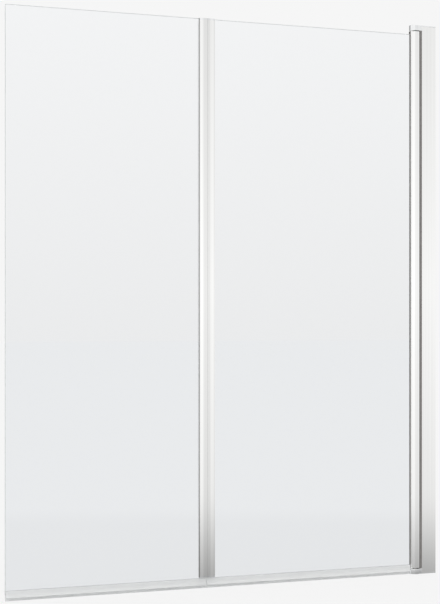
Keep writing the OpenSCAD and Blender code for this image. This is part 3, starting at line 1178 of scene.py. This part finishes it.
@dataclass
class PivotTube:
    """Round tube with its glazing pocket and the gasket that holds the inner glass."""

    pocket_half: float = 4.5
    pocket_end: float = 5.6
    bore: float = 4.1
    mouth: float = 0.35
    mouth_reach: float = 10.0
    lip: float = 0.5
    lip_reach: float = 12.0
    lip_half: float = 4.0
    gasket_round: float = 0.25
    slot_half: float = 3.05
    slot_end: float = 6.65

    def build(self) -> None:
        """Builds the tube and its gasket."""
        low, high = node_box("pivot_tube")
        x, y = axis_of("bottom_pivot_pin")
        radius = high[0] - x
        length = high[2] - low[2]
        tube = Workpiece.rod("swing_tube", (x, y, low[2]), radius, length, sides=144)
        tube.cut(
            Workpiece.block(
                "pocket",
                (x - radius - 2 * OVER, -self.pocket_half, low[2] - OVER),
                (x - self.pocket_end, self.pocket_half, high[2] + OVER),
            ),
            Workpiece.rod("bore", (x, y, low[2] - OVER), self.bore, length + 2 * OVER, sides=48),
        )
        tube.clean()
        tube.round_edges(
            self.mouth,
            FACETS,
            lambda p, d: upright(d)
            and p.x < x - self.mouth_reach
            and abs(abs(p.y) - self.pocket_half) < HAIR,
        )
        tube.finish(Body.INNER_PANEL, Slot.ALUMINIUM, ALUMINIUM, ["pivot_tube"])

        low, high = node_box("tube_gasket")
        gasket = Workpiece.block(
            "tube_glazing_gasket",
            (x - radius - OVER, low[1], low[2]),
            (x - self.pocket_end - SLIP, high[1], high[2]),
        )
        foot = (x, y, low[2] - OVER)
        gasket.trim(Workpiece.rod("lip", foot, radius + self.lip, length + 2 * OVER, sides=128))
        gasket.cut(
            Workpiece.block(
                "slot",
                (x - radius - 2 * OVER, -self.slot_half, low[2] - OVER),
                (x - self.slot_end, self.slot_half, high[2] + OVER),
            )
        )
        gasket.clean()
        gasket.round_edges(
            self.gasket_round,
            FACETS,
            lambda p, d: upright(d) and p.x < x - self.lip_reach and abs(p.y) > self.lip_half,
        )
        gasket.finish(Body.INNER_PANEL, Slot.RUBBER, GASKET, ["tube_gasket"])


@dataclass
class FoldHinge:
    """Middle hinge: two crowned half profiles, their end caps and their gaskets."""

    widths: dict[Side, float] = field(default_factory=lambda: {Side.OUTER: 20.3, Side.INNER: 19.5})
    front: float = -13.0
    rear: float = 7.0
    gap: float = 0.3
    crown: float = 110.0
    fillet: float = 1.6
    rear_round: float = 1.2
    rear_facets: int = 4
    rear_back: float = 3.0
    seam_round: float = 0.9
    pocket_half: float = 4.5
    pocket_depth: float = 12.0
    glass_half: float = 3.05
    gasket_inset: float = 2.0
    gasket_round: float = 0.4
    seat: float = 1.0
    rear_lap: float = 1.0
    barrel: float = 5.5
    groove: float = 5.9
    bore: float = 3.5
    pin_hole: float = 2.05
    cap: float = 5.0
    arm: float = 4.6
    pin_seat: float = 3.6
    port_y: float = -8.4
    port_seam: float = 4.4
    port_edge: float = 5.5
    seam: float = field(init=False)
    barrel_y: float = field(init=False)

    def __post_init__(self) -> None:
        """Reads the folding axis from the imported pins."""
        self.seam, self.barrel_y = axis_of("fold_bottom_pin")

    def build(self) -> None:
        """Builds both halves, their caps and their gaskets."""
        self.build_inner()
        self.build_outer()
        for side in (Side.INNER, Side.OUTER):
            self.build_caps(side)
        for side in (Side.INNER, Side.OUTER):
            self.build_gasket(side)

    def span(self, side: Side, near: float, far: float) -> tuple[float, float]:
        """Returns the X range between two distances from the seam, lowest first."""
        ends = sorted((self.seam + side.value * near, self.seam + side.value * far))
        return ends[0], ends[1]

    def half(self, name: str, side: Side, low_z: float, high_z: float) -> Workpiece:
        """Shapes the outline of one half between two heights.

        Args:
            name: Name of the piece.
            side: Side of the seam.
            low_z: Its lower end.
            high_z: Its upper end.

        Returns:
            The crowned and rounded block.
        """
        width = self.widths[side]
        x0, x1 = self.span(side, self.gap / 2, width)
        piece = Workpiece.block(name, (x0, self.front, low_z), (x1, self.rear, high_z))
        y0 = self.glass_half - self.rear_lap
        x0, x1 = self.span(side, width - self.rear_back, width + 2 * OVER)
        piece.cut(Workpiece.block("step", (x0, y0, low_z - OVER), (x1, self.rear + OVER, high_z + OVER)))
        step_x = self.seam + side.value * (width - self.rear_back)
        piece.clean()
        piece.round_edges(
            self.rear_round,
            self.rear_facets,
            lambda p, d: upright(d) and abs(p.x - step_x) < HAIR and p.y > self.rear - HAIR,
        )
        axis_y = self.front + self.crown
        foot = (self.seam, axis_y, low_z - OVER)
        piece.trim(Workpiece.rod("crown", foot, self.crown, high_z - low_z + 2 * OVER, sides=720))
        arc = self.crown - self.fillet
        lean = math.asin((width - self.fillet) / arc)
        piece.cut(
            self.corner(
                side, width - self.fillet, axis_y - arc * math.cos(lean), self.fillet, lean, low_z, high_z
            ),
            self.corner(
                side,
                self.gap / 2 + self.seam_round,
                self.front + self.seam_round,
                -self.seam_round,
                0.0,
                low_z,
                high_z,
            ),
        )
        return piece

    def corner(
        self, side: Side, near: float, y: float, radius: float, lean: float, low_z: float, high_z: float
    ) -> Workpiece:
        """Makes the waste outside a rounded front corner.

        Args:
            side: Side of the seam.
            near: Distance of the arc's centre from the seam.
            y: Its Y.
            radius: The arc's radius, negative where the corner looks to the seam.
            lean: Angle at which the arc starts from the front face.
            low_z: Lower end of the piece.
            high_z: Upper end of the piece.

        Returns:
            The cutter.
        """
        x0, x1 = self.span(side, near + radius * math.sin(lean), near + 2 * radius)
        waste = Workpiece.block("waste", (x0, self.front - OVER, low_z - OVER), (x1, y, high_z + OVER))
        foot = (self.seam + side.value * near, y, low_z - 2 * OVER)
        return waste.cut(Workpiece.rod("arc", foot, abs(radius), high_z - low_z + 4 * OVER, sides=96))

    def pocket(self, side: Side, half: float, depth: float, low_z: float, high_z: float) -> Workpiece:
        """Makes the cutter of a glazing pocket that opens at the half's glass edge.

        Args:
            side: Side of the seam.
            half: Half the pocket's width.
            depth: Its depth.
            low_z: Lower end of the piece.
            high_z: Upper end of the piece.

        Returns:
            The cutter.
        """
        width = self.widths[side]
        x0, x1 = self.span(side, width - depth, width + 2 * OVER)
        return Workpiece.block("pocket", (x0, -half, low_z - OVER), (x1, half, high_z + OVER))

    def upright_rod(self, radius: float, low_z: float, high_z: float) -> Workpiece:
        """Returns a rod about the folding axis."""
        return Workpiece.rod("axis_rod", (self.seam, self.barrel_y, low_z), radius, high_z - low_z, sides=64)

    def build_inner(self) -> None:
        """Builds the inner half with its barrel."""
        low, high = node_box("inner_fold_profile")
        piece = self.half("inner_hinge_half", Side.INNER, low[2], high[2])
        piece.cut(self.pocket(Side.INNER, self.pocket_half, self.pocket_depth, low[2], high[2]))
        piece.fuse(self.upright_rod(self.barrel, low[2], high[2]))
        piece.cut(self.upright_rod(self.bore, low[2] - OVER, high[2] + OVER))
        piece.finish(Body.INNER_PANEL, Slot.ALUMINIUM, ALUMINIUM, ["inner_fold_profile"])

    def build_outer(self) -> None:
        """Builds the outer half with the groove that runs round the barrel."""
        low, high = node_box("outer_fold_profile")
        piece = self.half("outer_hinge_half", Side.OUTER, low[2], high[2])
        piece.cut(
            self.pocket(Side.OUTER, self.pocket_half, self.pocket_depth, low[2], high[2]),
            self.upright_rod(self.groove, low[2] - OVER, high[2] + OVER),
        )
        piece.finish(Body.OUTER_PANEL, Slot.ALUMINIUM, ALUMINIUM, ["outer_fold_profile"])

    def build_caps(self, side: Side) -> None:
        """Builds the bottom end cap of a half and turns a copy over for the top.

        Args:
            side: Side of the seam.
        """
        node = f"{side.word}_fold_bottom_cap"
        low, high = node_box(node)
        cap = self.half(f"{side.word}_hinge_foot", side, low[2], high[2])
        cap.cut(self.pocket(side, self.glass_half, self.pocket_depth - self.seat, low[2], high[2]))
        if side is Side.INNER:
            cap.cut(self.upright_rod(self.groove, low[2] - OVER, high[2] + OVER))
        else:
            arm_top = low[2] + self.arm
            cap.cut(self.upright_rod(self.groove, arm_top, high[2] + OVER))
            cap.fuse(self.upright_rod(self.barrel, low[2], arm_top))
            cap.cut(self.upright_rod(self.pin_hole, arm_top - self.pin_seat, high[2]))
        for x in self.port_places(side):
            cap.cut(*countersink((x, self.port_y, low[2]), self.cap + OVER))
        profile_low, profile_high = node_box(f"{side.word}_fold_profile")
        middle = (profile_low[2] + profile_high[2]) / 2
        head = cap.flipped(f"{side.word}_hinge_head", (0.0, 0.0, middle), (0.0, 0.0, 1.0))
        cap.finish(side.body, Slot.CHROME, CHROME, [node])
        head.finish(side.body, Slot.CHROME, CHROME, [f"{side.word}_fold_top_cap"])

    def port_places(self, side: Side) -> tuple[float, float]:
        """Gives the places of a half's two screws.

        Args:
            side: Side of the seam.

        Returns:
            The X of the screw at the seam and of the one at the glass.
        """
        return (
            self.seam + side.value * self.port_seam,
            self.seam + side.value * (self.widths[side] - self.port_edge),
        )

    def build_gasket(self, side: Side) -> None:
        """Builds the gasket of a half, which ends a little inside the pocket.

        Args:
            side: Side of the seam.
        """
        node = f"{side.word}_fold_gasket"
        low, high = node_box(node)
        gasket = Workpiece.block(f"{side.word}_hinge_gasket", low, high)
        gasket.cut(self.pocket(side, self.glass_half, self.pocket_depth - self.seat, low[2], high[2]))
        gasket.clean()
        mouth_x = self.seam + side.value * (self.widths[side] - self.gasket_inset)
        gasket.round_edges(self.gasket_round, FACETS, lambda p, d: upright(d) and abs(p.x - mouth_x) < HAIR)
        gasket.finish(side.body, Slot.RUBBER, GASKET, [node])


@dataclass
class GlassPane:
    """A pane with ground edges and a chamfer all round both faces."""

    node: str
    name: str
    body: Body
    arris: float = 0.8
    arris_facets: int = 1
    flat_angle: float = 10.0

    def build(self) -> None:
        """Builds the pane and gives its edges their ground finish."""
        low, high = node_box(self.node)
        pane = Workpiece.block(self.name, low, high)
        pane.round_edges(self.arris, self.arris_facets, lambda p, d: True)
        pane.finish(self.body, Slot.GLASS, GLASS, [self.node], angle=self.flat_angle)
        mesh = pane.obj.data
        mesh.materials.append(GLASS_EDGE.material())
        for face in mesh.polygons:
            if abs(face.normal.y) < STRAIGHT:
                face.material_index = 1


@dataclass
class BottomSeal:
    """Clear seal that clips on the glass, with a wiping fin and a curved drip skirt."""

    node: str
    name: str
    body: Body
    leg: float = 4.25
    slot: float = 3.05
    web: tuple[float, float] = (15.45, 17.45)
    top: float = 24.0
    fin: float = 1.1
    fin_foot: float = 0.5
    fin_lean: float = 0.2
    fin_taper: float = 0.5
    skirt_axis: tuple[float, float] = (-13.45, 16.45)
    skirt_turn: float = 52.0
    skirt_steps: int = 10
    lip_round: float = 0.4

    def build(self) -> None:
        """Draws the section across X and pulls it out along the glass."""
        low, high = node_box(self.node)
        x = low[0]
        seal = Workpiece.sheet(self.name, x, (-self.leg, self.web[0]), (self.leg, self.web[1]))
        for y in (-self.slot, self.slot, -self.fin, self.fin, -self.leg + self.fin):
            seal.split((x, y, 0.0), (0.0, 1.0, 0.0))
        rise = self.top - self.web[1]
        seal.pull(
            Kind.EDGES,
            lambda p, d: abs(d.y) > STRAIGHT and p.z > self.web[1] - HAIR and abs(p.y) > self.slot,
            (0.0, 0.0, rise),
        )
        seal.pull(
            Kind.EDGES,
            lambda p, d: abs(d.y) > STRAIGHT and p.z < self.web[0] + HAIR and abs(p.y) < self.fin,
            (0.0, 0.0, self.fin_foot - self.web[0]),
        )
        bpy.ops.object.mode_set(mode="EDIT")
        bpy.ops.transform.resize(
            value=(1.0, self.fin_taper, 1.0), center_override=scaled((x, 2 * self.fin_lean, self.fin_foot))
        )
        seal.close()
        seal.pick(
            Kind.EDGES,
            lambda p, d: abs(d.y) > STRAIGHT and p.z < self.web[0] + HAIR and p.y < -self.slot,
        )
        bpy.ops.mesh.spin(
            steps=self.skirt_steps,
            angle=math.radians(self.skirt_turn),
            center=scaled((x, *self.skirt_axis)),
            axis=(1.0, 0.0, 0.0),
        )
        seal.close()
        seal.clean()
        seal.pull(Kind.FACES, lambda p, d: True, (high[0] - low[0], 0.0, 0.0))
        seal.clean()
        seal.round_edges(
            self.lip_round, FACETS, lambda p, d: abs(d.x) > STRAIGHT and p.z > self.top - HAIR
        )
        seal.finish(self.body, Slot.CLEAR_PVC, CLEAR_PVC, [self.node])


@dataclass
class Fasteners:
    """Screw covers on the rear of the post and the countersunk screws of the caps."""

    cover_y: float = 12.0
    cover_radius: float = 6.5
    cover_height: float = 4.65
    cover_wall: float = 1.2
    cover_round: float = 1.5
    cover_facets: int = 5
    cover_ring: float = 1.0
    cover_dish: float = 0.25
    head: float = 2.8
    shank: float = 1.45
    head_height: float = 1.6
    length: float = 14.0
    recess: tuple[float, float, float] = (1.7, 0.45, 1.0)

    def build(self) -> None:
        """Builds the covers and the screws."""
        self.build_covers()
        self.build_screws("post_cap_screws", "bearing_cap_screws", Body.WALL_SIDE)
        self.build_screws("inner_hinge_screws", "inner_fold_screws", Body.INNER_PANEL)
        self.build_screws("outer_hinge_screws", "outer_fold_screws", Body.OUTER_PANEL)

    def build_covers(self) -> None:
        """Builds one domed, hollow cover and copies it to the other screws."""
        first_z, *other_zs = CLAMP_HEIGHTS
        foot = (CLAMP_X, self.cover_y, first_z)
        rim_y = self.cover_y + self.cover_height
        cover = Workpiece.rod("post_screw_covers", foot, self.cover_radius, self.cover_height, Axis.Y)
        cover.round_edges(self.cover_round, self.cover_facets, lambda p, d: p.y > rim_y - HAIR)
        cover.step_in(lambda p, n: n.y > STRAIGHT, self.cover_ring, -self.cover_dish)
        cover.step_in(lambda p, n: n.y < -STRAIGHT, self.cover_wall, -(self.cover_height - self.cover_wall))
        cover.join(*[cover.copy("cover_copy", (0.0, 0.0, z - first_z)) for z in other_zs])
        cover.finish(Body.WALL_SIDE, Slot.CHROME, CHROME, ["screw_covers"])

    def build_screws(self, name: str, node: str, body: Body) -> None:
        """Builds one countersunk screw with a cross recess and copies it to its places.

        Args:
            name: Name of the piece.
            node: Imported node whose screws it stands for.
            body: Body that they ride on.
        """
        low, high = node_box(node)
        xs = {round(low[0] + self.head, 1), round(high[0] - self.head, 1)}
        ys = {round(low[1] + self.head, 1), round(high[1] - self.head, 1)}
        (first_x, first_y), *others = sorted((x, y) for x in xs for y in ys)
        screw = Workpiece.rod(
            name, (first_x, first_y, low[2]), self.head, self.head_height, sides=40, tip=self.shank
        )
        shank = (first_x, first_y, low[2] + self.head_height / 2)
        screw.fuse(Workpiece.rod("shank", shank, self.shank, self.length - self.head_height / 2, sides=40))
        reach, half, depth = self.recess
        screw.cut(
            Workpiece.block(
                "slot_x",
                (first_x - reach, first_y - half, low[2] - OVER),
                (first_x + reach, first_y + half, low[2] + depth),
            ),
            Workpiece.block(
                "slot_y",
                (first_x - half, first_y - reach, low[2] - OVER),
                (first_x + half, first_y + reach, low[2] + depth),
            ),
        )
        screw.clean()
        screw.join(*[screw.copy("screw_copy", (x - first_x, y - first_y, 0.0)) for x, y in others])
        top = screw.flipped("screw_tops", (0.0, 0.0, (low[2] + high[2]) / 2), (0.0, 0.0, 1.0))
        screw.join(top)
        screw.finish(body, Slot.STEEL, STEEL, [node])


@dataclass
class CarriedNodes:
    """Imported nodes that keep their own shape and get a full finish."""

    finishes: dict[str, Finish] = field(
        default_factory=lambda: {
            "wall_channel": MILL,
            "top_pivot_pin": STEEL,
            "bottom_pivot_pin": STEEL,
            "thrust_washers": NYLON,
            "adjusting_screws": STEEL,
            "adjusting_nuts": STEEL,
            "cover_washers": NYLON,
            "tube_top_bush": NYLON,
            "tube_bottom_bush": NYLON,
            "fold_top_bush": NYLON,
            "fold_bottom_bush": NYLON,
            "fold_top_pin": STEEL,
            "fold_bottom_pin": STEEL,
        }
    )

    def build(self) -> None:
        """Puts each finish in its node's material slots."""
        for node, finish in self.finishes.items():
            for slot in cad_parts[node].material_slots:
                slot.material = finish.material()
            LOG.info("%s: carried over as %s", node, finish.name)


# ---- Studio ----


@dataclass(frozen=True)
class StandingPanel:
    """Upright panel of the studio, between two directions round the screen.

    Directions are degrees from straight in front, and grow towards the wall.
    """

    start: float
    end: float
    level: float
    edge: float = 4.0


@dataclass
class Studio:
    """Camera, pale floor and soft dome of light, as in a plain product photograph.

    White panels stand on the left, in front and at the wall side, with slightly greyer gaps
    between them, and a dark flag stands behind on the left to outline the metal. The floor
    is hidden from mirrored rays, and a band of shade low in the dome stands for it. The panes
    mirror a plain front of their own, and a card a shade darker than the page shows through
    them. Levels are linear, by height in degrees.
    """

    eye: Point = (-2306.0, -3866.0, 655.0)
    ahead: tuple[float, float] = (0.4039, 0.9148)
    lens: float = 103.7
    sensor: float = 36.0
    rise: float = 0.0253
    clip: tuple[float, float] = (0.05, 200.0)
    page: str = "F6F6F6"
    through: str = "EDEEEF"
    shadow: float = 0.06
    floor_size: float = 80000.0
    floor_place: Point = (-570.0, 0.0, -0.2)
    gap: float = 0.92
    panels: tuple[StandingPanel, ...] = (
        StandingPanel(-122, -12, 1.12),
        StandingPanel(-3, 13, 1.11),
        StandingPanel(28, 42, 1.05),
        StandingPanel(56, 165, 1.05),
        StandingPanel(-165, -122, 0.36),
    )
    falloff: tuple[tuple[float, float], ...] = (
        (-90, 0.9), (-14, 0.8), (-9, 0.33), (-6, 0.87), (1, 1.0), (10, 0.88), (40, 1.0),
    )
    pane: tuple[tuple[float, float], ...] = ((-90, 0.5), (-6.75, 0.5), (-6.35, 0.87), (10, 0.97))
    card: tuple[tuple[float, float], ...] = ((-1, 0.857), (10, 0.93))

    def build(self) -> None:
        """Sets the camera, the floor and the dome."""
        self.build_camera()
        self.build_floor()
        self.build_dome()

    def build_camera(self) -> None:
        """Places the level camera of the photograph."""
        data = bpy.data.cameras.new("photo_camera")
        data.lens, data.sensor_width, data.shift_y = self.lens, self.sensor, self.rise
        data.clip_start, data.clip_end = self.clip
        camera = bpy.data.objects.new("photo_camera", data)
        camera.location = scaled(self.eye)
        camera.rotation_euler = (math.pi / 2, 0.0, -math.atan2(*self.ahead))
        bpy.context.scene.collection.objects.link(camera)
        bpy.context.scene.camera = camera

    def build_floor(self) -> None:
        """Lays the pale floor, a touch deeper where it is seen through the glass."""
        bpy.ops.object.select_all(action="DESELECT")
        bpy.ops.mesh.primitive_plane_add(size=self.floor_size * MM, location=scaled(self.floor_place))
        floor = bpy.context.object
        floor.name = "floor"
        made = bpy.data.materials.new("pale_floor")
        made.use_nodes = True
        tree = made.node_tree
        tree.nodes.clear()
        path = add_node(tree, "ShaderNodeLightPath").outputs
        colour = mix_colours(tree, path["Is Transmission Ray"], linear(self.page), linear(self.through))
        seen = self.calculate(tree, "MAXIMUM", path["Is Camera Ray"], path["Is Transmission Ray"])
        lit = add_node(tree, "ShaderNodeBsdfDiffuse", inputs={"Color": colour})
        plain = add_node(tree, "ShaderNodeEmission", inputs={"Color": colour})
        share = self.calculate(tree, "MULTIPLY", seen, 1.0 - self.shadow)
        mixed = add_node(
            tree, "ShaderNodeMixShader", inputs={0: share, 1: lit.outputs[0], 2: plain.outputs[0]}
        )
        gone = add_node(tree, "ShaderNodeBsdfTransparent")
        mirrored = self.calculate(tree, "GREATER_THAN", path["Glossy Depth"], 0.0)
        shown = add_node(
            tree, "ShaderNodeMixShader", inputs={0: mirrored, 1: mixed.outputs[0], 2: gone.outputs[0]}
        )
        add_node(tree, "ShaderNodeOutputMaterial", inputs={"Surface": shown.outputs[0]})
        floor.data.materials.append(made)
        floor.visible_glossy = False

    def calculate(self, tree: bpy.types.NodeTree, operation: str, *values: Value) -> bpy.types.NodeSocket:
        """Adds one step of arithmetic.

        Args:
            tree: Node tree.
            operation: Blender's name of the step.
            values: Numbers or outputs.

        Returns:
            The result.
        """
        step = add_node(tree, "ShaderNodeMath", {"operation": operation}, dict(enumerate(values)))
        return step.outputs[0]

    def fade(
        self, tree: bpy.types.NodeTree, turn: bpy.types.NodeSocket, start: float, end: float
    ) -> bpy.types.NodeSocket:
        """Goes from 0 at one direction to 1 at another.

        Args:
            tree: Node tree.
            turn: Direction round the screen in degrees.
            start: Direction at which it is 0.
            end: Direction at which it is 1.

        Returns:
            The share.
        """
        inputs = {"Value": turn, "From Min": start, "From Max": end}
        return add_node(tree, "ShaderNodeMapRange", inputs=inputs).outputs["Result"]

    def by_height(
        self, tree: bpy.types.NodeTree, up: bpy.types.NodeSocket, levels: Sequence[tuple[float, float]]
    ) -> bpy.types.NodeSocket:
        """Gives grey levels by the height of a direction.

        Args:
            tree: Node tree.
            up: The direction's Z, moved up by 1 and halved.
            levels: Heights in degrees and their levels, which are halved to fit a ramp.

        Returns:
            The level.
        """
        stops = [((math.sin(math.radians(h)) + 1) / 2, grey(v / 2)) for h, v in levels]
        ramp = add_node(tree, "ShaderNodeValToRGB", inputs={0: up}, stops=stops)
        return self.calculate(tree, "MULTIPLY", ramp.outputs["Color"], 2.0)

    def by_turn(self, tree: bpy.types.NodeTree, turn: bpy.types.NodeSocket) -> bpy.types.NodeSocket:
        """Gives the level round the screen, from the panels and the gaps between them.

        Args:
            tree: Node tree.
            turn: Direction round the screen in degrees.

        Returns:
            The level.
        """
        around = self.gap
        for panel in self.panels:
            rise = self.fade(tree, turn, panel.start, panel.start + panel.edge)
            fall = self.fade(tree, turn, panel.end, panel.end - panel.edge)
            share = self.calculate(tree, "MULTIPLY", rise, fall)
            step = self.calculate(tree, "SUBTRACT", panel.level, around)
            around = self.calculate(tree, "MULTIPLY_ADD", share, step, around)
        return around

    def build_dome(self) -> None:
        """Lights the scene by a soft dome with its panels, its falloff and the card."""
        world = bpy.data.worlds.new("studio_dome")
        bpy.context.scene.world = world
        world.use_nodes = True
        world.cycles.sampling_method = "NONE"
        tree = world.node_tree
        tree.nodes.clear()
        path = add_node(tree, "ShaderNodeLightPath").outputs
        place = add_node(tree, "ShaderNodeTexCoord")
        parts = add_node(tree, "ShaderNodeSeparateXYZ", inputs={0: place.outputs["Generated"]}).outputs
        front = self.calculate(tree, "MULTIPLY", parts["Y"], -1.0)
        angle = self.calculate(tree, "ARCTAN2", parts["X"], front)
        turn = self.calculate(tree, "DEGREES", angle)
        lift = self.calculate(tree, "MULTIPLY_ADD", parts["Z"], 0.5, 0.5)
        falloff = self.by_height(tree, lift, self.falloff)
        full = self.calculate(tree, "MULTIPLY", falloff, self.by_turn(tree, turn))
        sheen = self.by_height(tree, lift, self.pane)
        beyond = self.by_height(tree, lift, self.card)
        rearward = self.calculate(tree, "GREATER_THAN", parts["Y"], 0.0)
        nearer = mix_colours(tree, path["Glossy Depth"], beyond, sheen)
        farther = mix_colours(tree, path["Glossy Depth"], beyond, full)
        glass = mix_colours(tree, rearward, nearer, farther)
        metal = mix_colours(tree, path["Glossy Depth"], grey(1.0), full)
        shiny = mix_colours(tree, path["Is Singular Ray"], metal, glass)
        light = mix_colours(tree, path["Diffuse Depth"], shiny, grey(1.0))
        seen = mix_colours(tree, path["Is Camera Ray"], light, linear(self.page))
        shader = add_node(tree, "ShaderNodeBackground", inputs={"Color": seen, "Strength": 1.0})
        add_node(tree, "ShaderNodeOutputWorld", inputs={"Surface": shader.outputs[0]})
        bpy.context.scene.view_settings.view_transform = "Standard"


def main() -> None:
    """Builds the studio and the screen's sub-assemblies in order."""
    logging.basicConfig(level=logging.INFO, format="%(name)s: %(message)s")
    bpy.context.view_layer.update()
    for part in (
        Studio(),
        WallPost(),
        BearingCaps(),
        PivotTube(),
        FoldHinge(),
        GlassPane("inner_glass", "inner_pane", Body.INNER_PANEL),
        GlassPane("outer_glass", "outer_pane", Body.OUTER_PANEL),
        BottomSeal("inner_seal", "inner_drip_seal", Body.INNER_PANEL),
        BottomSeal("outer_seal", "outer_drip_seal", Body.OUTER_PANEL),
        Fasteners(),
        CarriedNodes(),
    ):
        LOG.info("%s", type(part).__name__)
        part.build()


if __name__ == "__main__":
    main()
